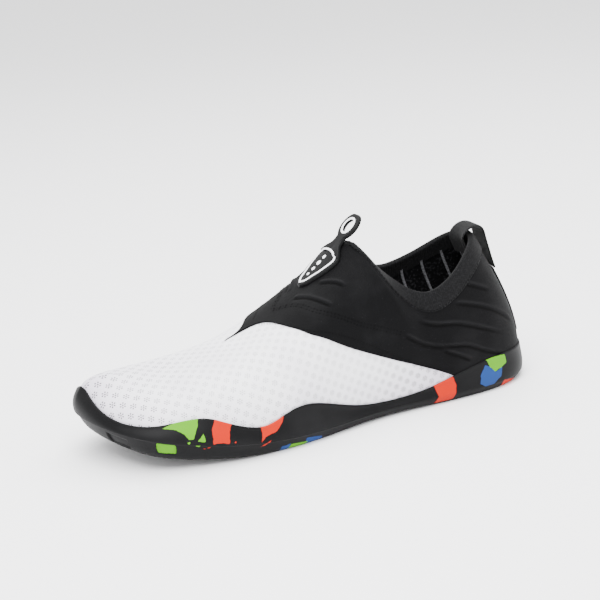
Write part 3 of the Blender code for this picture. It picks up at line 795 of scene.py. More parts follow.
# Weaves and patterns, in millimetres or as radians a millimetre
PORE_PITCH = 7.4
PORE_RING = 1.2            # radius of the ring of pores
PORE_WIDTH = (0.25, 0.55)       # distance from that ring over which a pore ends
PORE_CORE = (0.2, 0.5)
RIM_PAINTED_SHADE = (2.0, 24.0)    # distance from the sole's rim over which the mesh's painted shade fades
MESH_KNIT = (5.2, 6.4)
STRETCH_KNIT = (6.0, 5.0, 3.0)
CUFF_RIBS = 5.2
TWILL = 4.6
TWILL_SLANT = 1.2          # how far a rib runs along the webbing for each step across it
SIPE_PITCH = 3.2
SIPE_WAVE = 6.0
UNDERSIDE = (-0.97, -0.9)  # Z of the normal from which a face no longer counts as the foot of the sole

# Colours, linear
BLACK_RUBBER = (0.0026, 0.0026, 0.0029)
RUBBER_SCUFF = (0.0046, 0.0046, 0.0050)
BADGE_BLACK = (0.0030, 0.0030, 0.0033)
BLACK_CLOTH = (0.0022, 0.0022, 0.0025)
CLOTH_CLOUD = (0.0044, 0.0044, 0.0048)
# painted highlight on the tucks' crests and painted shadow in the grooves under them
TUCK_PAINTED_HIGHLIGHT = (0.0062, 0.0062, 0.0067)
TUCK_PAINTED_SHADOW = (0.0006, 0.0006, 0.0007)
CUFF_BLACK = (0.0026, 0.0026, 0.0029)
CUFF_SLUB = (0.0070, 0.0070, 0.0076)
THREAD_BLACK = (0.0012, 0.0012, 0.0013)
BLACK_WEBBING = (0.0028, 0.0028, 0.0031)
WEBBING_RIB = (0.017, 0.017, 0.018)
GREY_CORD = (0.06, 0.06, 0.065)
GREY_RIB = (0.11, 0.11, 0.12)
LINING_BLACK = (0.003, 0.003, 0.0033)
LINING_SPECK = (0.030, 0.030, 0.033)
INSOLE_DARK = (0.010, 0.010, 0.011)
INSOLE_LIGHT = (0.030, 0.030, 0.033)
MESH_WHITE = (0.86, 0.86, 0.89)
# painted shade near the sole's rim and the two ends, mixed with random clouding
MESH_PAINTED_SHADE_AND_CLOUD = (0.52, 0.475, 0.57)
MESH_PORE = (0.11, 0.10, 0.12)
LINE_WHITE = (0.86, 0.86, 0.88)
LIME = (0.075, 0.26, 0.003)
ORANGE = (0.38, 0.011, 0.0015)
BLUE = (0.011, 0.038, 0.15)


def snow_pores(u, v, shift):
    """Mask of small rings of six pores round a seventh, on a square lattice moved by a share of its pitch."""
    x = ((u / PORE_PITCH + shift).fract() - 0.5) * PORE_PITCH
    y = ((v / PORE_PITCH + shift).fract() - 0.5) * PORE_PITCH
    reach = (x * x + y * y) ** 0.5
    petals = (y.turn(x) * 6).cosine().ease(-0.1, 0.7)
    ring = (1 - (reach - PORE_RING).absolute().ease(*PORE_WIDTH)) * petals
    core = 1 - reach.ease(*PORE_CORE)
    return ring.most(core)


def mesh_finish():
    """White spacer mesh with staggered rows of small pore rings and a fine knit between them."""
    finish = Finish("white_mesh", Roughness=0.85, Sheen_Weight=0.10, Specular_IOR_Level=0.25)
    u, v, _ = finish.cloth()
    pores = snow_pores(u, v, 0.0).most(snow_pores(u, v, 0.5))
    knit = (u * MESH_KNIT[0]).sine() * (v * MESH_KNIT[1]).sine()
    cloudy = finish.noise(finish.place(), 28.0)
    stretch = finish.noise(finish.place(), 75.0)
    # Painted shade: the mesh and its pores darken towards the sole's rim (edge) and the two ends (end)
    edge = 1 - finish.field("edge").ease(*RIM_PAINTED_SHADE)
    end = finish.field("end")
    depth = pores * (0.22 + stretch.ease(0.3, 0.7) * 0.22 + (0.30 + 0.30 * end) * edge + 0.48 * end)
    shade = finish.mix(MESH_WHITE, MESH_PAINTED_SHADE_AND_CLOUD, cloudy.ease(0.4, 0.75) * 0.22 + 0.28 * edge + 0.32 * end)
    finish.set("Base Color", finish.mix(shade, MESH_PORE, depth))
    finish.relief(knit * 0.03 - pores * 0.22)
    return finish


def stretch_finish():
    """Black stretch cloth, a fine matt knit; painted highlight on each tuck, painted shadow under it."""
    finish = Finish("stretch_cloth", Roughness=0.7, Sheen_Weight=0.02, Specular_IOR_Level=0.04)
    u, v, _ = finish.cloth()
    across, along, weave = STRETCH_KNIT
    knit = (u * across).sine() * (v * along + (u * weave).sine()).sine()
    slub = finish.noise(finish.place(), 900.0, 3.0)
    cloudy = finish.noise(finish.place(), 45.0, 3.0)
    shade = finish.mix(BLACK_CLOTH, CLOTH_CLOUD, cloudy.ease(0.4, 0.7))
    # Painted highlight on each tuck's crest, painted shadow in the groove under it
    tuck = finish.field("tuck")
    shade = finish.mix(shade, TUCK_PAINTED_HIGHLIGHT, tuck.ease(0.1, 0.9))
    finish.set("Base Color", finish.mix(shade, TUCK_PAINTED_SHADOW, (0 - tuck).ease(0.1, 0.8)))
    finish.relief(knit * 0.05 + slub * 0.16)
    return finish


def cuff_finish():
    """Black elastic band, ribbed across its width."""
    finish = Finish("elastic_band", Roughness=0.8, Sheen_Weight=0.03, Specular_IOR_Level=0.06)
    u, v, _ = finish.cloth()
    ribs = (u * CUFF_RIBS).sine()
    slub = finish.noise(finish.place(), 1100.0, 3.0)
    finish.set("Base Color", finish.mix(CUFF_BLACK, CUFF_SLUB, slub.ease(0.4, 0.7)))
    finish.relief(ribs * 0.06 + slub * 0.20)
    return finish


def plain_finish(name, colors, scale, span, bump, detail=2.0, **constants):
    """Plain cloth or cord: fibres between two colours, with a relief in millimetres."""
    finish = Finish(name, **constants)
    fibre = finish.noise(finish.place(), scale, detail)
    finish.set("Base Color", finish.mix(*colors, fibre.ease(*span)))
    finish.relief(fibre * bump)
    return finish


def grained_finish(name, low, spread, bump=0, **constants):
    """Plain rubber whose roughness wanders a little."""
    finish = Finish(name, **constants)
    grain = finish.noise(finish.place(), 1500.0)
    finish.set("Roughness", low + spread * grain)
    if bump:
        finish.relief(grain * bump)
    return finish


def lining_finish():
    """Black spacer mesh with lighter specks."""
    finish = Finish("spacer_lining", Roughness=0.95, Specular_IOR_Level=0.05)
    speck = finish.noise(finish.place(), 650.0, 2.0)
    cloudy = finish.noise(finish.place(), 90.0, 2.0)
    finish.set("Base Color", finish.mix(LINING_BLACK, LINING_SPECK, speck.ease(0.52, 0.68) * cloudy))
    finish.relief(speck * 0.6)
    return finish


def thread_finish():
    finish = Finish("black_thread", Base_Color=THREAD_BLACK, Roughness=0.6, Specular_IOR_Level=0.04)
    twist = finish.noise(finish.place(), 3000.0)
    finish.relief(twist * 0.1)
    return finish


def webbing_finish():
    """Black webbing, woven in fine ribs that slant like a twill."""
    finish = Finish("webbing", Roughness=0.75, Sheen_Weight=0.03, Specular_IOR_Level=0.08)
    u, v, _ = finish.cloth()
    twill = ((u + v * TWILL_SLANT) * TWILL).sine()
    slub = finish.noise(finish.place(), 1300.0)
    finish.set("Base Color", finish.mix(BLACK_WEBBING, WEBBING_RIB, twill.ease(-0.2, 1.0) * slub))
    finish.relief(twill * 0.12 + slub * 0.08)
    return finish


def sole_finish():
    """Black moulded rubber with lime, orange and blue splashes, finely siped under the foot."""
    finish = Finish("sole_rubber", Specular_IOR_Level=0.09)
    place = finish.place()
    ragged = (finish.noise(place, 420.0, 3.0) - 0.5) * 1.1
    grain = finish.noise(place, 1600.0)
    marks = finish.noise(place, 55.0, 4.0)
    color = finish.mix(BLACK_RUBBER, RUBBER_SCUFF, marks.ease(0.45, 0.7))
    painted = 0
    for name, tint in (("blue", BLUE), ("orange", ORANGE), ("lime", LIME)):
        inside = (finish.field(name) + ragged).ease(-0.10, 0.14)
        color = finish.mix(color, tint, inside)
        painted = inside + painted
    x, y, _ = finish.split(place)
    under = 1 - finish.split(finish.node("ShaderNodeNewGeometry", output=1))[2].ease(*UNDERSIDE)
    waves = x / (SIPE_PITCH * MM) + (y / (SIPE_WAVE * MM)).sine() * 0.35
    sipes = (waves.fract() - 0.5).absolute().ease(0.06, 0.14)
    finish.set("Base Color", color)
    finish.set("Roughness", 0.38 + 0.16 * grain + 0.08 * marks)
    finish.relief(grain * 0.03 + painted * 0.06 + sipes * under * 0.6)
    return finish


# Mesh vamp, stretch quarter, cuff and lining

VAMP_START = 0.205
VAMP_COLUMNS = 330
VAMP_ROWS = 64
VAMP_TUCK = 0.035          # of v, under the quarter
VAMP_LEAST = 0.01          # of v, so that its rows never meet
RIM_TUCK = 0.55            # share of the rim's height at which the cloth starts inside the cup
VAMP_HEEL_END = (0.30, 0.46)    # places over which the painted shade and the pores deepen towards the two ends
VAMP_TOE_END = (0.80, 0.96)
UNFOLD_COLUMNS = 66
UNFOLD_ROWS = 12


def unfold(points):
    """Lay a sheet flat. Where its two sides are joined on the ridge, both get the place of the one corner."""
    mesh = bmesh.new()
    lay_grid(mesh, points, dict(zip(("column", "row"), np.indices(points.shape[:2]).astype(float))))
    bmesh.ops.remove_doubles(mesh, verts=mesh.verts, dist=WELD)
    data = bpy.data.meshes.new("pattern")
    mesh.to_mesh(data)
    mesh.free()
    pattern = bpy.data.objects.new("pattern", data)
    bpy.context.scene.collection.objects.link(pattern)
    bpy.context.view_layer.objects.active = pattern
    pattern.select_set(True)
    bpy.ops.object.mode_set(mode="EDIT")
    bpy.ops.mesh.select_all(action="SELECT")
    bpy.ops.uv.unwrap(method="ANGLE_BASED", margin=0)
    bpy.ops.object.mode_set(mode="OBJECT")
    flat = np.zeros(points.shape[:2] + (2,))
    seen = np.zeros(points.shape[:2], bool)
    column = [round(item.value) for item in data.attributes["column"].data]
    row = [round(item.value) for item in data.attributes["row"].data]
    for loop, item in zip(data.loops, data.uv_layers["cloth"].data):
        place = (column[loop.vertex_index], row[loop.vertex_index])
        flat[place] = item.uv
        seen[place] = True
    bpy.data.objects.remove(pattern)
    bpy.data.meshes.remove(data)
    return np.where(seen[..., None], flat, flat[::-1])


def spread_flat(flat, coarse, w, share, points):
    """Places on the flat cloth for a fine sheet, between those of the coarse one, in millimetres."""
    middle = len(coarse) // 2
    side = flat[0, 0] - flat[-1, 0]
    scale = np.linalg.norm(np.diff(points[:, 0], axis=0), axis=1).sum()
    scale /= np.linalg.norm(np.diff(flat[:, 0], axis=0), axis=1).sum()
    angle = math.atan2(side[1], side[0]) - math.pi / 2
    turn = np.array([[math.cos(angle), math.sin(angle)], [-math.sin(angle), math.cos(angle)]])
    turned = (flat - flat[middle, 0]) @ turn.T * scale / MM
    rows = np.linspace(0, 1, flat.shape[1])
    out = np.zeros((len(w), len(share), 2))
    for k in range(2):
        across = np.array([np.interp(share, rows, line) for line in turned[..., k]])
        out[..., k] = np.array([np.interp(w, coarse, line) for line in across.T]).T
    return out


def vamp_places(w, share):
    """v of the vamp's rows, from inside the cup up to just under the quarter."""
    low = rim_place(w) * RIM_TUCK
    high = np.clip(seam_height(w) + VAMP_TUCK, low + VAMP_LEAST, 1)
    return low[:, None] + (high - low)[:, None] * share


def make_vamp(finish):
    """White mesh from the sole's rim up to the quarter's edge, over the toes."""
    w = np.linspace(VAMP_START, 2 - VAMP_START, VAMP_COLUMNS + 1)
    share = np.linspace(0, 1, VAMP_ROWS + 1)
    v = vamp_places(w, share)
    points = lifted(w[:, None], v, 0)
    coarse_w = np.linspace(VAMP_START, 2 - VAMP_START, UNFOLD_COLUMNS + 1)
    coarse_share = np.linspace(0, 1, UNFOLD_ROWS + 1)
    coarse = lifted(coarse_w[:, None], vamp_places(coarse_w, coarse_share), 0)
    cloth = spread_flat(unfold(coarse), coarse_w, w, share, coarse)
    # Distance from the sole's rim and nearness to the two ends, which set the mesh's painted shade
    rim = lifted(w, rim_place(w), 0)
    edge = np.linalg.norm(points - rim[:, None], axis=-1) / MM
    place = half_place(w)
    end = np.maximum(smooth(*VAMP_TOE_END, place), 1 - smooth(*VAMP_HEEL_END, place))
    fields = {"edge": edge, "end": np.broadcast_to(end[:, None], edge.shape)}
    cloth_sheet(points, fields, cloth, "vamp_mesh", finish, VAMP_WALL)


QUARTER_COLUMNS = 400
QUARTER_ROWS = 92
FORWARD_COLUMNS = 16
EDGE_ROWS = [0.0, 0.0025, 0.006, 0.011, 0.017, 0.024]
EDGE_LIFT = 0.35           # share of PANEL_STEP at which the quarter's very edge lies
CLOTH_LEVEL = 0.5          # v at which the cloth's length round the shoe is measured
TUCK_CLEAR = (0.001, 0.004)     # distance from that edge over which the tucks set in

# Pin tucks over the heel and two short ones on the instep, as places (w, v) on the outer side
TUCKS = [
    [(0.135, 0.885), (0.113, 0.785), (0.088, 0.680)],
    [(0.190, 0.860), (0.135, 0.693), (0.088, 0.503), (0.060, 0.38)],
    [(0.291, 0.740), (0.213, 0.700), (0.160, 0.573), (0.088, 0.320)],
    [(0.340, 0.485), (0.296, 0.515), (0.205, 0.480), (0.158, 0.340), (0.073, 0.130)],
    [(0.245, 0.483), (0.215, 0.397), (0.190, 0.297)],
    [(0.655, 0.945), (0.641, 0.895), (0.589, 0.733), (0.536, 0.613)],
    [(0.590, 0.880), (0.556, 0.803), (0.486, 0.663)],
]
TUCK_POINTS = 60
TUCK_START = (0, 0.22)     # shares of a tuck's length over which it sets in and ends
TUCK_END = (0.8, 1.0)
GROOVE_SHARE = 0.9         # depth of the groove under a tuck, and how many widths below it lies
GROOVE_DROP = 1.7


def tuck_relief(points):
    """Height of the pin tucks: a soft crest with a groove under it, fading out at both ends."""
    relief = np.zeros(points.shape[:2])
    for tuck in TUCKS:
        for places in both_sides(tuck):
            line, _ = skin_line(places, TUCK_POINTS, PANEL_STEP)
            distance, index = nearest(points, line)
            above = np.sign(points[..., 2] - line[index][..., 2]) * distance
            share = index / (TUCK_POINTS - 1)
            fade = smooth(*TUCK_START, share) * (1 - smooth(*TUCK_END, share))
            crest = np.exp(-(above / TUCK_WIDTH) ** 2)
            groove = GROOVE_SHARE * np.exp(-((above + GROOVE_DROP * TUCK_WIDTH) / TUCK_WIDTH) ** 2)
            relief += TUCK_HEIGHT * (crest - groove) * fade
    return relief


def quarter_low(w):
    """v of the quarter's lower edge: the seam, or its tucked-in foot behind the seam's end."""
    return np.maximum(seam_height(w), rim_place(w) * RIM_TUCK)


def round_loop(front, count):
    """Places from the inner front round the heel to the outer front, with the throat's on both sides."""
    side = np.unique(np.round(np.append(np.linspace(0, front, count // 2 + 1), THROAT), 6))
    ahead = np.linspace(front, front + SEAM_FORWARD, FORWARD_COLUMNS + 1)
    return np.concatenate([-ahead[:0:-1], -side[:0:-1], side])


def make_quarter(finish):
    """Black stretch cloth: one piece round heel and instep, its front edge laid over the mesh."""
    front = VAMP_SEAM[-1].place
    w = round_loop(front, QUARTER_COLUMNS)
    low = quarter_low(w)
    share = np.append(EDGE_ROWS, np.linspace(EDGE_ROWS[-1], 1, QUARTER_ROWS + 1)[1:])
    v = low[:, None] + (1 - low)[:, None] * share
    flat = lifted(w[:, None], v, PANEL_STEP)
    from_edge = np.cumsum(np.linalg.norm(np.diff(flat, axis=1, prepend=flat[:, :1]), axis=-1), axis=1)
    roll = np.sqrt(1 - (1 - np.clip(from_edge / PANEL_STEP, 0, 1)) ** 2)
    tucks = tuck_relief(flat) * smooth(*TUCK_CLEAR, from_edge)
    lift = PANEL_STEP * (EDGE_LIFT + (1 - EDGE_LIFT) * roll) + tucks
    points = lifted(w[:, None], v, lift)
    around = arc_length(skin(w, np.full_like(w, CLOTH_LEVEL))) / MM
    cloth = np.stack(np.broadcast_arrays(around[:, None], from_edge / MM), -1)
    # The tucks' height is kept for their painted highlight and shadow
    cloth_sheet(points, {"tuck": tucks / TUCK_HEIGHT}, cloth, "quarter_cloth", finish, QUARTER_WALL)


CUFF_COLUMNS = 300
CUFF_ROWS = 12
CUFF_START = 0.12          # share of the cuff's height at which its even rows start
CUFF_TURN_ROWS = 9
CUFF_INNER_ROWS = (0.0, 0.1, 0.3, 0.6, 1.0)
CUFF_PUFF = 0.0003         # how far its middle swells
CUFF_CREST = 0.0010        # how far it stands over the collar's edge
CUFF_FOOT = 0.4            # share of PANEL_STEP at which its lower edge lies
CUFF_EDGE = [(0.0004, 0.4), (0.0010, 0.0)]      # height over that edge, share of CUFF_STEP below the face
CUFF_DEPTH = 0.08          # depths in v over which the skin is measured for the cuff and for its turned edge
TURN_DEPTH = 0.02


def fall(w, depth):
    """Vector up the skin from a depth in v below the top line, and its length for a step of one in v."""
    rise = skin(w, np.ones_like(w)) - skin(w, np.full_like(w, 1 - depth))
    length = np.linalg.norm(rise, axis=-1)
    return rise / length[:, None], length / depth


def cuff_low(w):
    """v of the cuff's lower edge, CUFF_WIDTH below the collar."""
    return 1 - CUFF_WIDTH / fall(w, CUFF_DEPTH)[1]


def make_cuff(finish):
    """Elastic band round the collar, turned in over its edge."""
    side = np.linspace(0, THROAT, CUFF_COLUMNS // 2 + 1)
    w = np.concatenate([-side[::-1], side[1:]])
    low = cuff_low(w)
    outer = PANEL_STEP + CUFF_STEP
    inner = -UPPER_WALL - LINING_WALL
    top = skin(w, np.ones_like(w))
    rise, speed = fall(w, TURN_DEPTH)
    rows = [lifted(w, low, PANEL_STEP * CUFF_FOOT)]
    for height, left in CUFF_EDGE:
        rows.append(lifted(w, low + height / speed, outer - CUFF_STEP * left))
    for share in np.linspace(CUFF_START, 1, CUFF_ROWS):
        rows.append(lifted(w, low + (1 - low) * share, outer + CUFF_PUFF * math.sin(math.pi * share)))
    edge = normal(w, np.ones_like(w))
    middle = (outer + inner) / 2
    half = (outer - inner) / 2
    for turn in np.linspace(0, math.pi, CUFF_TURN_ROWS)[1:-1]:
        rows.append(top + edge * (middle + half * math.cos(turn)) + rise * CUFF_CREST * math.sin(turn))
    for share in CUFF_INNER_ROWS:
        rows.append(lifted(w, 1 - share * CUFF_TURN / speed, inner))
    points = np.stack(rows, axis=1)
    around = arc_length(top) / MM
    across = np.cumsum(np.linalg.norm(np.diff(points, axis=1, prepend=points[:, :1]), axis=-1), axis=1) / MM
    cloth = np.stack(np.broadcast_arrays(around[:, None], across), -1)
    mesh = bmesh.new()
    lay_grid(mesh, points, None, cloth)
    weld(mesh)
    bmesh.ops.reverse_faces(mesh, faces=mesh.faces)
    cuff = to_object(mesh, "collar_cuff", finish, crease=60)
    dress(cuff, "upper")


LINING_COLUMNS = 220
LINING_ROWS = 40
LINING_TURN = 0.93         # v above which the lining keeps the direction it has there


def make_lining(finish):
    """Lining on the inner side of the upper, from the sole to the collar."""
    w = loop_places(LINING_COLUMNS)
    v = np.linspace(0, 1, LINING_ROWS + 1)
    inside = normal(*np.broadcast_arrays(w[:, None], np.minimum(v, LINING_TURN)))
    points = skin(w[:, None], v) - UPPER_WALL * inside
    mesh = bmesh.new()
    lay_grid(mesh, points)
    weld(mesh)
    lining = to_object(mesh, "lining", finish)
    wall(lining, LINING_WALL)
    dress(lining, "upper")


LINING_RIBS = 15
RIB_SPAN = 0.33            # farthest place w from the middle of the heel
RIB_ENDS = (0.30, 0.90)    # v of the foot and the top
RIB_HALF = 0.0009
RIB_RISE = 1.1             # height, in half widths
RIB_SINK = 0.0001
RIB_POINTS = 22
RIB_SIDES = 7
RIB_STEP = 0.004           # of w, over which the skin is measured beside a cord


def make_lining_ribs(finish):
    """Light cords that stand up the lining round the heel."""
    mesh = bmesh.new()
    for w in np.linspace(-RIB_SPAN, RIB_SPAN, LINING_RIBS):
        v = np.linspace(*RIB_ENDS, RIB_POINTS)
        speed = across_speed(w, v, RIB_STEP)
        rows = []
        for turn in np.linspace(0, math.pi, RIB_SIDES):
            aside = RIB_HALF * math.cos(turn) / speed
            rows.append(lifted(w + aside, v, RIB_SINK - UPPER_WALL - RIB_RISE * RIB_HALF * math.sin(turn)))
        lay_grid(mesh, np.stack(rows, axis=0))
    ribs = to_object(mesh, "lining_ribs", finish)
    dress(ribs, "upper")


# Outsole and insole

SOLE_COLUMNS = 440
PORT_STRETCH = (0.815, 0.950, 150)      # places round the windows, and how many columns lie there
OUTLINE_POINTS = 2000
INNER_WALL_ROWS = 7
LIP_ROWS = 7
SIDE_ROWS = 26
BEVEL_ROWS = 20
TREAD_ROWS = 26
INNER_CLEAR = 0.9          # share of GAP left between the cup's inner wall and the skin
GROOVE_EDGE = (0.35, 0.65)      # shares of GROOVE_WIDTH from its middle over which a groove's side rises
MARGIN_EDGE = 0.001        # half the run over which a groove ends
PORT_EDGE = (-0.25, 0.35)       # millimetres in from a window's outline over which it sinks
PORT_PAINT = 0.15          # how far in from it the paint starts, in millimetres
OUTSIDE = -9.0             # distance in millimetres that stands for no paint
LEDGE_SHAPE = [(0.0, 1.0), (0.42, 0.40), (0.78, 0.10), (1.0, 0.0)]      # run inwards, height left

# Painted splashes on the outer side, as places (millimetres along the outline from the heel, height over the
# tread). The inner side has the same ones, nearer the heel. Windows are sunk into the bevel on both sides.
SPLASHES = {
    "lime": [
        [(261.5, 17.6), (255.5, 21.5), (245.4, 24.5), (243.7, 20.0), (244.4, 13.2), (247.0, 13.2),
         (250.0, 15.8), (254.0, 17.6)],
        [(239.8, 16.8), (237.6, 12.0), (242.2, 12.2)],
        [(247.6, 11.9), (246.2, 12.2), (246.0, 11.0), (247.4, 10.9)],
        [(243.4, 10.2), (240.6, 10.1), (240.8, 9.2), (243.2, 9.4)],
        [(52.5, 20.5), (45.1, 20.5), (38.4, 20.0), (38.6, 15.0), (42.8, 13.4), (49.0, 11.6), (51.3, 15.0)],
        [(188.1, 3.6), (176.7, 2.2), (178.0, 0.2), (189.0, 0.4)],
    ],
    "orange": [
        [(235.8, 24.5), (224.9, 24.0), (225.6, 17.0), (224.6, 10.6), (229.0, 11.4), (233.6, 10.6),
         (234.2, 14.0), (235.6, 18.8)],
        [(222.6, 11.0), (221.4, 12.2), (221.2, 10.4)],
        [(239.4, 7.6), (234.4, 9.4), (236.0, 8.1)],
        [(209.4, 20.5), (203.3, 22.0), (194.6, 23.0), (194.8, 17.9), (197.7, 13.6), (204.7, 11.6),
         (206.8, 9.3), (206.5, 14.3)],
        [(207.0, 6.2), (200.8, 9.9), (203.0, 7.2)],
        [(79.8, 15.5), (77.0, 15.0), (76.6, 9.5), (79.4, 1.6), (91.6, 1.2), (89.5, 5.4), (90.4, 10.0),
         (91.5, 15.0)],
        [(43.4, 4.8), (36.0, 3.2), (30.5, 1.8), (31.0, 0.0), (43.6, 0.0)],
    ],
    "blue": [
        [(194.2, 3.2), (188.3, 4.0), (188.3, 0.0), (194.0, 0.0)],
        [(178.4, 4.9), (167.8, 2.9), (166.7, 0.0), (178.2, 0.0)],
        [(54.1, 17.4), (51.3, 15.0), (49.0, 11.5), (43.1, 13.2), (45.6, 8.1), (51.5, 4.7), (57.6, 4.5),
         (61.2, 7.0), (59.3, 12.0)],
    ],
}
INNER_SHIFT = 7.0          # how much nearer, in millimetres
Window = namedtuple("Window", "paint along height half_length half_height")
WINDOWS = [
    Window("lime", 258.8, 6.2, 5.4, 3.0),
    Window("", 289.3, 3.6, 7.4, 2.9),
]
WINDOW_CORNER = 1.0


def inside_outline(along, height, corners):
    """Distance in from an outline of corners, in millimetres, negative outside."""
    best = np.full(along.shape, np.inf)
    inside = np.zeros(along.shape, bool)
    for (x0, y0), (x1, y1) in zip(corners, corners[1:] + corners[:1]):
        run, rise = x1 - x0, y1 - y0
        share = np.clip(((along - x0) * run + (height - y0) * rise) / (run * run + rise * rise), 0, 1)
        best = np.minimum(best, np.hypot(along - x0 - share * run, height - y0 - share * rise))
        crosses = (y0 > height) != (y1 > height)
        slope = run / rise if rise else 0.0
        inside ^= crosses & (along < x0 + (height - y0) * slope)
    return np.where(inside, best, -best)


def inside_window(along, height, window):
    """Distance in from a window's rounded outline, in millimetres, negative outside."""
    away = np.abs(along - window.along) - (window.half_length - WINDOW_CORNER)
    up = np.abs(height - window.height) - (window.half_height - WINDOW_CORNER)
    corner = np.hypot(np.maximum(away, 0), np.maximum(up, 0))
    return WINDOW_CORNER - corner - np.minimum(np.maximum(away, up), 0)


def sole_rows(w):
    """Rows of the cup: plate top, up the inner wall, over the rim, down the side, bevel, tread."""
    rim, step, bevel = columns_of(SIDE_LOOP(w))
    step = step * STEP_HEIGHT
    out = outward(w)
    rim_v = rim_place(w)
    step_v = height_to_v(w, np.maximum(step, PLATE + 2 * GAP))
    corner = on_floor(outline(w) - BASE_WALL * out, PLATE)
    rows = [mirror_mean(corner), corner]
    for share in np.linspace(0, 1, INNER_WALL_ROWS):
        rows.append(lifted(w, share * rim_v, INNER_CLEAR * GAP * (2 * share - 1)))
    for turn in np.linspace(0, math.pi, LIP_ROWS)[1:-1]:
        aside = RIM_WALL * (1 - math.cos(turn)) / 2
        rows.append(lifted(w, rim_v + RIM_LIP * math.sin(turn), GAP + aside))
    for share in np.linspace(0, 1, SIDE_ROWS):
        thick = RIM_WALL + (BASE_WALL - RIM_WALL) * float(smooth(0, 1, share))
        rows.append(lifted(w, rim_v + (step_v - rim_v) * share, GAP + thick))
    side = rows[-1]
    foot = outline(w) - (STEP_DEPTH + BEVEL * bevel)[:, None] * out
    ledge = side[:, :2] - STEP_DEPTH * out
    runs, heights = zip(*LEDGE_SHAPE)
    shape = Spline(runs, np.array(heights)[:, None])
    for share in np.linspace(0, 1, BEVEL_ROWS):
        height = float(shape(share)[0]) * (step - STEP_DEPTH)
        rows.append(on_floor(ledge + share * (foot - ledge), height))
    middle = mirror_mean(rows[-1])
    for share in np.linspace(0, 1, TREAD_ROWS)[1:]:
        plan = foot + (middle[:, :2] - foot) * share
        rows.append(on_floor(plan, groove_lift(plan, share, np.linalg.norm(middle[:, :2] - foot, axis=-1))))
    return np.stack(rows, axis=1)


def groove_lift(plan, share, half):
    """How far the tread is cut up into by the flex grooves."""
    clear = smooth(GROOVE_MARGIN - MARGIN_EDGE, GROOVE_MARGIN + MARGIN_EDGE, share * half)
    lift = np.zeros(len(plan))
    for along in GROOVES:
        away = np.abs(plan[:, 0] - along * LENGTH + HEEL_BACK) / GROOVE_WIDTH
        lift = np.maximum(lift, GROOVE_DEPTH * (1 - smooth(*GROOVE_EDGE, away)))
    return lift * clear


def make_outsole(finish):
    """Rubber cup with painted splashes and two windows sunk into each side of its bevel."""
    w = loop_places(SOLE_COLUMNS, [PORT_STRETCH])
    points = sole_rows(w)
    heel_to_toe = np.linspace(0, 1, OUTLINE_POINTS)
    around = np.interp(half_place(w), heel_to_toe, arc_length(outline(heel_to_toe))) / MM
    around = np.broadcast_to(around[:, None], points.shape[:2])
    height = (points[..., 2] - floor_height(points[..., 0])) / MM
    first_side = 2 + INNER_WALL_ROWS
    last_side = first_side + LIP_ROWS - 2 + SIDE_ROWS + BEVEL_ROWS
    outer = w <= 1
    along = np.where(outer[:, None], around, around + INNER_SHIFT)
    fields = {}
    for name, shapes in SPLASHES.items():
        best = np.full(points.shape[:2], OUTSIDE)
        for corners in shapes:
            best = np.maximum(best, inside_outline(along, height, corners))
        best[:, :first_side] = OUTSIDE
        best[:, last_side:] = OUTSIDE
        fields[name] = best
    run = np.gradient(points, axis=1)
    face = np.cross(np.gradient(points, axis=0), run)
    face /= np.linalg.norm(face, axis=-1, keepdims=True) + 1e-12
    bevel = slice(last_side - BEVEL_ROWS, last_side - 1)
    for window in WINDOWS:
        inside = inside_window(around[:, bevel], height[:, bevel], window)
        sunk = PORT_DEPTH * smooth(*PORT_EDGE, inside)
        if window.paint:
            painted = fields[window.paint][:, bevel]
            fields[window.paint][:, bevel] = np.maximum(painted, inside - PORT_PAINT)
        sign = np.sign((face[:, bevel, :2] * outward(w)[:, None]).sum(-1))
        points[:, bevel] -= face[:, bevel] * (sign * sunk)[..., None]
    mesh = bmesh.new()
    lay_grid(mesh, points, fields)
    closed_piece(mesh, "cup_sole", finish, "outsole", crease=50)


INSOLE_EDGE = 0.0012       # how far its edge is rounded in
INSOLE_EDGE_ROWS = 6
INSOLE_ROWS = 16


def make_insole(finish):
    """Foam insole with a rounded edge, covered in black cloth."""
    w = loop_places(SOLE_COLUMNS // 3)
    out = outward(w)
    edge = outline(w) - (BASE_WALL + UPPER_WALL + 3 * GAP) * out
    rows = [on_floor(edge, PLATE + GAP)]
    for turn in np.linspace(0, math.pi / 2, INSOLE_EDGE_ROWS):
        inset = INSOLE_EDGE * (1 - math.cos(turn))
        rows.append(on_floor(edge - inset * out, PLATE + GAP + INSOLE * (1 + math.sin(turn)) / 2))
    top = rows[-1]
    middle = mirror_mean(top)
    for share in np.linspace(0, 1, INSOLE_ROWS)[1:]:
        rows.append(top + (middle - top) * share)
    rows.insert(0, mirror_mean(rows[0]))
    mesh = bmesh.new()
    lay_grid(mesh, np.stack(rows, axis=1))
    closed_piece(mesh, "insole_cloth", finish, "insole")


# Badge with its keyline, pips and ring

BADGE_PLATE = 26
BADGE_NECK = 52
BADGE_ACROSS = 30
BADGE_CURL = 0.010         # length of the neck over which the plate's curl fades
BADGE_END_ROUND = 0.6      # how steep the rounding is at the two ends, against the sides
RIDGE_POINTS = 500
HOLE_SIDES = 48
BEAD_SIDES = 8
BEAD_RISE = 0.0004
BEAD_SINK = 0.0001         # how far a bead's foot is sunk into the rubber
BEAD_FULLNESS = 0.6        # below 1 a bead's crest is flat
KEYLINE_POINTS = 90
PIP_SINK = 0.0002
PIP_FLATTEN = 0.45
PIP_SIDES = 20
PIP_RINGS = 12
RIM_BEAD = 0.0007          # half the width of the ring's white rim, and how far it lies off the hole
RIM_OFFSET = 0.0006


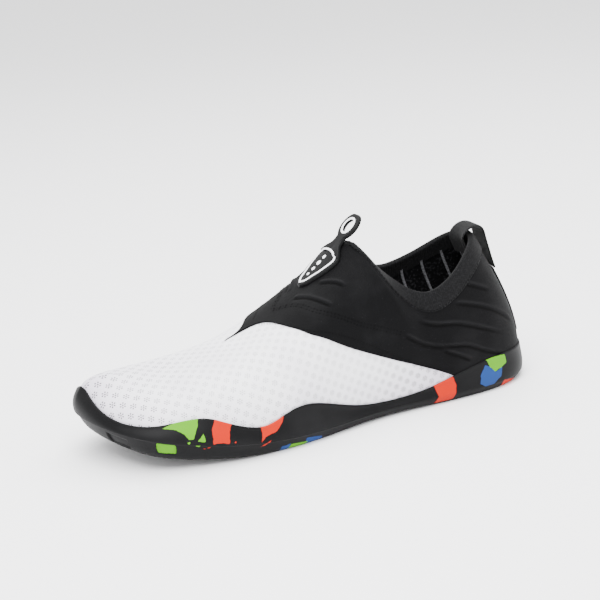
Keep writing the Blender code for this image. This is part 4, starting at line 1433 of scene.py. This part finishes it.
class BadgeForm:
    """The badge's underside: places are (run from the tip, offset to the outer side), in metres."""

    def __init__(self):
        places = np.linspace(THROAT, 1, RIDGE_POINTS)
        ridge_x = crown(places)[:, 0]
        throat = crown(np.array([THROAT]))[0]
        steps = np.linspace(throat[0] + BADGE_TIP, throat[0] + BADGE_TOP, BADGE_PLATE + 1)
        self.plate = np.interp(steps, ridge_x, places)
        base = lifted(self.plate, np.ones_like(self.plate), PANEL_STEP + GAP)
        self.ring = np.array([throat[0] - RING_BACK, 0, throat[2] + RING_RISE])
        lean = self.ring - base[-1]
        reach = np.linalg.norm(lean)
        self.lean = lean / reach
        self.face = np.cross(self.lean, (0, 1, 0))
        self.face *= np.sign(self.face[2])
        self.plate_run = arc_length(base)
        self.base = base
        self.total = self.plate_run[-1] + reach + RING_RADIUS

    def half(self, run):
        half = BADGE_LINE(run / self.total)[..., 0] * BADGE_WIDTH / 2
        from_ring = run - (self.total - RING_RADIUS)
        end = np.sqrt(np.clip(RING_RADIUS ** 2 - from_ring ** 2, 0, None))
        return np.where(from_ring > 0, end, np.maximum(half, end))

    def on_skin(self, place, offset, lift):
        """Point beside the ridge, at an offset from it along the skin."""
        step = 0.02
        speed = np.linalg.norm(skin(place, 1 - step) - skin(place, 1), axis=-1) / step
        w = np.where(offset >= 0, place, 2 - place)
        return lifted(w, 1 - np.abs(offset) / speed, PANEL_STEP + GAP + lift)

    def point(self, run, offset, lift):
        """Place on the badge, lifted over its underside."""
        run, offset, lift = np.broadcast_arrays(run, offset, lift)
        plate = self.on_skin(np.interp(run, self.plate_run, self.plate), offset, lift)
        beyond = np.clip(run - self.plate_run[-1], 0, None)
        neck = self.base[-1] + self.lean * beyond[..., None] + self.face * lift[..., None]
        neck[..., 1] += offset
        curl = self.on_skin(np.full_like(run, self.plate[-1]), offset, 0)[..., 2] - self.base[-1][2]
        neck[..., 2] += curl * (1 - smooth(0, BADGE_CURL, beyond))
        return np.where((run <= self.plate_run[-1])[..., None], plate, neck)


def facing(place, up):
    """Matrix that sets a thing at a place with its Z along a direction."""
    return Matrix.Translation(place) @ Vector(up).to_track_quat("Z", "Y").to_matrix().to_4x4()


def make_badge(form, finish):
    """Moulded badge: plate, neck and ring with a pillowed edge."""
    run = np.concatenate([np.linspace(0, form.plate_run[-1], BADGE_PLATE + 1),
                          np.linspace(form.plate_run[-1], form.total, BADGE_NECK + 1)[1:]])
    across = np.sin(np.linspace(-1, 1, BADGE_ACROSS + 1) * math.pi / 2)
    offset = form.half(run)[:, None] * across
    from_end = BADGE_END_ROUND * np.minimum(run, form.total - run)
    inset = np.minimum(form.half(run)[:, None] - np.abs(offset), from_end[:, None])
    pillow = np.sqrt(1 - (1 - np.clip(inset / BADGE_ROUND, 0, 1)) ** 2)
    under = form.point(run[:, None], offset, 0 * offset)
    over = form.point(run[:, None], offset, BADGE_WALL * pillow)
    mesh = bmesh.new()
    lay_grid(mesh, under)
    lay_grid(mesh, over)
    bmesh.ops.remove_doubles(mesh, verts=mesh.verts, dist=2 * WELD)
    bmesh.ops.recalc_face_normals(mesh, faces=mesh.faces)
    badge = to_object(mesh, "badge_plate", finish, crease=60)
    tool_mesh = bmesh.new()
    bmesh.ops.create_cone(tool_mesh, cap_ends=True, segments=HOLE_SIDES, radius1=RING_HOLE, radius2=RING_HOLE,
                          depth=6 * BADGE_WALL, matrix=facing(form.ring, form.face))
    tool_data = bpy.data.meshes.new("ring_hole")
    tool_mesh.to_mesh(tool_data)
    tool_mesh.free()
    tool = bpy.data.objects.new("ring_hole", tool_data)
    bpy.context.scene.collection.objects.link(tool)
    cut = badge.modifiers.new("ring hole", "BOOLEAN")
    cut.operation = "DIFFERENCE"
    cut.solver = "EXACT"
    cut.object = tool
    bpy.context.view_layer.update()
    cut_mesh = bpy.data.meshes.new_from_object(badge.evaluated_get(bpy.context.evaluated_depsgraph_get()))
    badge.modifiers.clear()
    badge.data = cut_mesh
    bpy.data.objects.remove(tool)
    dress(badge, "badge")


def lay_bead(mesh, line, normals, half):
    """Half-round bead round a closed line: half wide to each side, rising along the normals."""
    ahead = np.roll(line, -1, axis=0) - np.roll(line, 1, axis=0)
    aside = unit(np.cross(ahead, normals))
    rows = []
    for turn in np.linspace(0, math.pi, BEAD_SIDES):
        rise = BEAD_RISE * math.sin(turn) ** BEAD_FULLNESS
        rows.append(line + aside * half * math.cos(turn) + normals * rise)
    rows.append(rows[0])
    points = np.stack(rows, axis=1)
    lay_grid(mesh, np.concatenate([points, points[:1]], axis=0))


def make_badge_line(form, finish):
    """White keyline round the plate, pips down its middle and the white rim of the ring."""
    mesh = bmesh.new()
    low, high = np.array(KEYLINE_SPAN) * form.total
    share = (1 - np.cos(np.linspace(0, math.pi, KEYLINE_POINTS))) / 2
    run = low + (high - low) * share
    half = KEYLINE_LINE(share)[:, 0] * (BADGE_WIDTH / 2 - KEYLINE_INSET)
    loop_run = np.concatenate([run, run[-2:0:-1]])
    loop_half = np.concatenate([half, -half[-2:0:-1]])
    top = form.point(loop_run, loop_half, BADGE_WALL - BEAD_SINK)
    above = form.point(loop_run, loop_half, BADGE_WALL - BEAD_SINK + MM)
    lay_bead(mesh, top, unit(above - top), KEYLINE / 2)
    for pip in PIPS:
        place, above = form.point(pip.along * form.total, 0.0, BADGE_WALL + np.array([-PIP_SINK, MM]))
        flatten = Matrix.Diagonal((1, 1, PIP_FLATTEN, 1))
        bmesh.ops.create_uvsphere(mesh, u_segments=PIP_SIDES, v_segments=PIP_RINGS, radius=pip.radius,
                                  matrix=facing(place, above - place) @ flatten)
    around = np.linspace(0, 2 * math.pi, HOLE_SIDES + 1)[:-1, None]
    circle = (form.lean * np.cos(around) + np.array([0, 1, 0]) * np.sin(around)) * (RING_HOLE + RIM_OFFSET)
    for side, lift in ((1, BADGE_WALL - BEAD_SINK), (-1, BEAD_SINK)):
        normals = np.tile(form.face * side, (HOLE_SIDES, 1))
        lay_bead(mesh, form.ring + form.face * lift + circle, normals, RIM_BEAD)
    closed_piece(mesh, "badge_line", finish, "badge", crease=70)


# Heel loop and tape

STRAP_SIDES = 40
STRAP_FULLNESS = 0.25      # below 1 its faces are flat and its edges round
LOOP_POINTS = 110
TAPE_POINTS = 70
BACK_POINTS = 200


def strap(mesh, centers, ups, width, thick):
    """Flat woven strap with rounded edges. The centres give its middle layer for offsets across it."""
    around = np.linspace(0, 2 * math.pi, STRAP_SIDES + 1)
    flat = np.sign(np.cos(around)) * np.abs(np.cos(around)) ** STRAP_FULLNESS * width / 2
    height = np.sin(around) * thick / 2
    points = centers(flat) + ups[:, None] * height[None, :, None]
    run = arc_length(points[:, STRAP_SIDES // 4]) / MM
    cloth = np.stack(np.broadcast_arrays(run[:, None], (flat / MM)[None, :]), -1)
    lay_grid(mesh, points, None, cloth)
    for end in (points[0], points[-1]):
        lay_grid(mesh, np.stack([end, (end + end[::-1]) / 2], axis=1))


def make_loop(finish):
    """Webbing loop: up the inside of the heel, over, and down behind it."""
    table = np.array(HEEL_LOOP, float) * LOOP_DROP
    run = arc_length(table[:, :2])
    path = Spline(run / run[-1], table)(np.linspace(0, 1, LOOP_POINTS))
    edge = collar(0.0)
    ahead = np.gradient(path[:, :2], axis=0)
    up = unit(np.stack([-ahead[:, 1], 0 * ahead[:, 0], ahead[:, 0]], -1))

    def centers(flat):
        x = edge[0] + path[:, :1] + path[:, 2:] * (flat[None] / (WEBBING_WIDTH / 2)) ** 2
        y = np.broadcast_to(flat[None], x.shape)
        z = np.broadcast_to(edge[2] + path[:, 1:2], x.shape)
        return np.stack([x, y, z], -1)

    mesh = bmesh.new()
    strap(mesh, centers, up, WEBBING_WIDTH, WEBBING_WALL)
    closed_piece(mesh, "webbing_loop", finish, "pull_loop", crease=60)


def make_tape(finish):
    """Webbing tape down the back seam."""
    back = np.linspace(0, 1, BACK_POINTS)
    high = np.interp(HEEL_HEIGHT - LOOP_DROP - TAPE_CLEARANCE, skin(0, back)[:, 2], back)
    v = np.linspace(TAPE_LOW, high, TAPE_POINTS)
    step = 0.01
    speed = np.linalg.norm(skin(step, v) - skin(0, v), axis=-1) / step
    up = normal(np.zeros_like(v), v)

    def centers(flat):
        return lifted(flat[None] / speed[:, None], np.broadcast_to(v[:, None], (len(v), len(flat))),
                      PANEL_STEP + GAP + TAPE_WALL / 2)

    mesh = bmesh.new()
    strap(mesh, centers, up, WEBBING_WIDTH, TAPE_WALL)
    closed_piece(mesh, "webbing_tape", finish, "heel_tape", crease=60)


# Stitches

STITCH_PITCH = 0.0021
STITCH_LENGTH = 0.0015
STITCH_RADIUS = 0.00022
STITCH_LIFT = 0.00008      # of the thread's middle over the cloth
CUFF_STITCH_LIFT = 0.0001
CUFF_STITCH_RISE = 0.016   # of v, over the cuff's lower edge
CUFF_STITCH_END = 0.985    # share of the way to the throat
CUFF_STITCH_POINTS = 500
SEAM_POINTS = 300
ZIGZAG_ROWS = (-0.0009, 0.0009)
ZIGZAG_SLANT = 0.5
CUFF_SLANT = 0.6
ZIGZAG = [(0.705, 0.990), (0.664, 0.873), (0.621, 0.730), (0.554, 0.593), (0.481, 0.497), (0.433, 0.457),
          (0.381, 0.457), (0.340, 0.480)]
VAMP_STITCH = [(0.740, 0.945), (0.700, 0.800), (0.660, 0.685), (0.600, 0.568), (0.500, 0.440), (0.400, 0.345),
               (0.320, 0.300), (0.262, 0.265)]


def stitch_row(mesh, line, normals, rows, slant):
    """Stitches along a line: each a short bead of thread, in one or two rows."""
    run = arc_length(line)
    count = int(run[-1] / STITCH_PITCH)
    ahead = unit(np.gradient(line, axis=0))
    for k in range(count):
        at = (k + 0.5) * STITCH_PITCH
        center = Vector([np.interp(at, run, line[:, axis]) for axis in range(3)])
        index = int(np.searchsorted(run, at))
        forward = Vector(ahead[min(index, len(ahead) - 1)])
        up = Vector(normals[min(index, len(normals) - 1)])
        aside = forward.cross(up).normalized()
        for row in rows:
            lean = (forward + aside * slant * (1 if k % 2 else -1)).normalized()
            frame_turn = Matrix((lean, up.cross(lean), up)).transposed().to_4x4()
            size = Matrix.Diagonal((STITCH_LENGTH / 2, STITCH_RADIUS, STITCH_RADIUS, 1))
            bmesh.ops.create_icosphere(mesh, subdivisions=1, radius=1.0,
                                       matrix=Matrix.Translation(center + aside * row) @ frame_turn @ size)


def make_stitches(finish):
    """Zigzag across the instep, a line beside the vamp's seam and one along the cuff."""
    mesh = bmesh.new()
    for places, rows, slant in ((ZIGZAG, ZIGZAG_ROWS, ZIGZAG_SLANT), (VAMP_STITCH, (0,), 0)):
        for side in both_sides(places):
            line, run = skin_line(side, SEAM_POINTS, PANEL_STEP + STITCH_LIFT)
            stitch_row(mesh, line, normal(run[:, 0], run[:, 1]), rows, slant)
    w = np.linspace(-1, 1, CUFF_STITCH_POINTS) * THROAT * CUFF_STITCH_END
    v = cuff_low(w) + CUFF_STITCH_RISE
    line = lifted(w, v, PANEL_STEP + CUFF_STEP + CUFF_STITCH_LIFT)
    stitch_row(mesh, line, normal(w, v), (0,), CUFF_SLANT)
    stitches = to_object(mesh, "stitches", finish)
    dress(stitches, "upper")


# Floor, light and camera

LOOK_AT = (0.096, 0.0, 0.030)
YAW = 0.390
ELEVATION = 0.339
ROLL = 0.081
DISTANCE = 0.900
SCALE = 1.736              # pixels per millimetre at the look-at point
IMAGE = 600
LOOK_PIXEL = (318.55, 360.51)
SENSOR = 36.0
CLIP = (0.05, 50)

FLOOR_COLOR = (0.93, 0.93, 0.94)
FLOOR_HALF = 6.0
SKY_STRENGTH = 2.0
Light = namedtuple("Light", "name place size power")
LIGHTS = [
    Light("key", (0.35, 0.45, 0.95), 0.9, 26.0),
    Light("top", (-0.10, -0.25, 1.10), 1.2, 20.0),
]


def area_light(row):
    """Round soft light aimed at the look-at point."""
    data = bpy.data.lights.new(row.name, "AREA")
    data.shape = "DISK"
    data.size = row.size
    data.energy = row.power
    light = bpy.data.objects.new(row.name, data)
    light.location = row.place
    light.rotation_euler = (Vector(LOOK_AT) - Vector(row.place)).to_track_quat("-Z", "Y").to_euler()
    bpy.context.scene.collection.objects.link(light)


def make_stage():
    """Pale floor, even sky and two soft lights."""
    finish = Finish("studio_floor", Base_Color=FLOOR_COLOR, Roughness=0.9, Specular_IOR_Level=0.0)
    mesh = bmesh.new()
    bmesh.ops.create_grid(mesh, x_segments=8, y_segments=8, size=FLOOR_HALF)
    floor = to_object(mesh, "floor", finish)
    world = bpy.data.worlds.new("studio")
    world.use_nodes = True
    background = world.node_tree.nodes["Background"]
    background.inputs["Color"].default_value = (1, 1, 1, 1)
    background.inputs["Strength"].default_value = SKY_STRENGTH
    bpy.context.scene.world = world
    for row in LIGHTS:
        area_light(row)


def make_camera():
    """Camera at the photograph's angle, rolled and shifted as it was framed."""
    data = bpy.data.cameras.new("camera")
    data.sensor_width = SENSOR
    data.lens = SENSOR * SCALE * DISTANCE / MM / IMAGE
    data.shift_x = (IMAGE / 2 - LOOK_PIXEL[0]) / IMAGE
    data.shift_y = (LOOK_PIXEL[1] - IMAGE / 2) / IMAGE
    data.clip_start, data.clip_end = CLIP
    level = Vector((math.sin(YAW), math.cos(YAW), 0))
    back = level * math.cos(ELEVATION) + Vector((0, 0, math.sin(ELEVATION)))
    right = Vector((-math.cos(YAW), math.sin(YAW), 0))
    up = back.cross(right)
    turned_right = right * math.cos(ROLL) - up * math.sin(ROLL)
    turned_up = right * math.sin(ROLL) + up * math.cos(ROLL)
    camera = bpy.data.objects.new("camera", data)
    turn = Matrix((turned_right, turned_up, back)).transposed().to_4x4()
    camera.matrix_world = Matrix.Translation(Vector(LOOK_AT) + back * DISTANCE) @ turn
    bpy.context.scene.collection.objects.link(camera)
    bpy.context.scene.camera = camera


def main():
    cord = plain_finish("grey_cord", (GREY_CORD, GREY_RIB), 800.0, (0.35, 0.6), 0.3, Roughness=0.9)
    insole = plain_finish("insole_cloth", (INSOLE_DARK, INSOLE_LIGHT), 1200.0, (0.4, 0.65), 0.3, detail=3.0,
                          Roughness=0.95, Specular_IOR_Level=0.05)
    badge = grained_finish("badge_rubber", 0.42, 0.12, bump=0.03, Base_Color=BADGE_BLACK,
                           Specular_IOR_Level=0.10)
    line = grained_finish("white_rubber", 0.45, 0.1, Base_Color=LINE_WHITE)
    webbing = webbing_finish()
    make_camera()
    make_stage()
    make_vamp(mesh_finish())
    make_quarter(stretch_finish())
    make_cuff(cuff_finish())
    make_lining(lining_finish())
    make_lining_ribs(cord)
    make_outsole(sole_finish())
    make_insole(insole)
    form = BadgeForm()
    make_badge(form, badge)
    make_badge_line(form, line)
    make_loop(webbing)
    make_tape(webbing)
    make_stitches(thread_finish())


main()
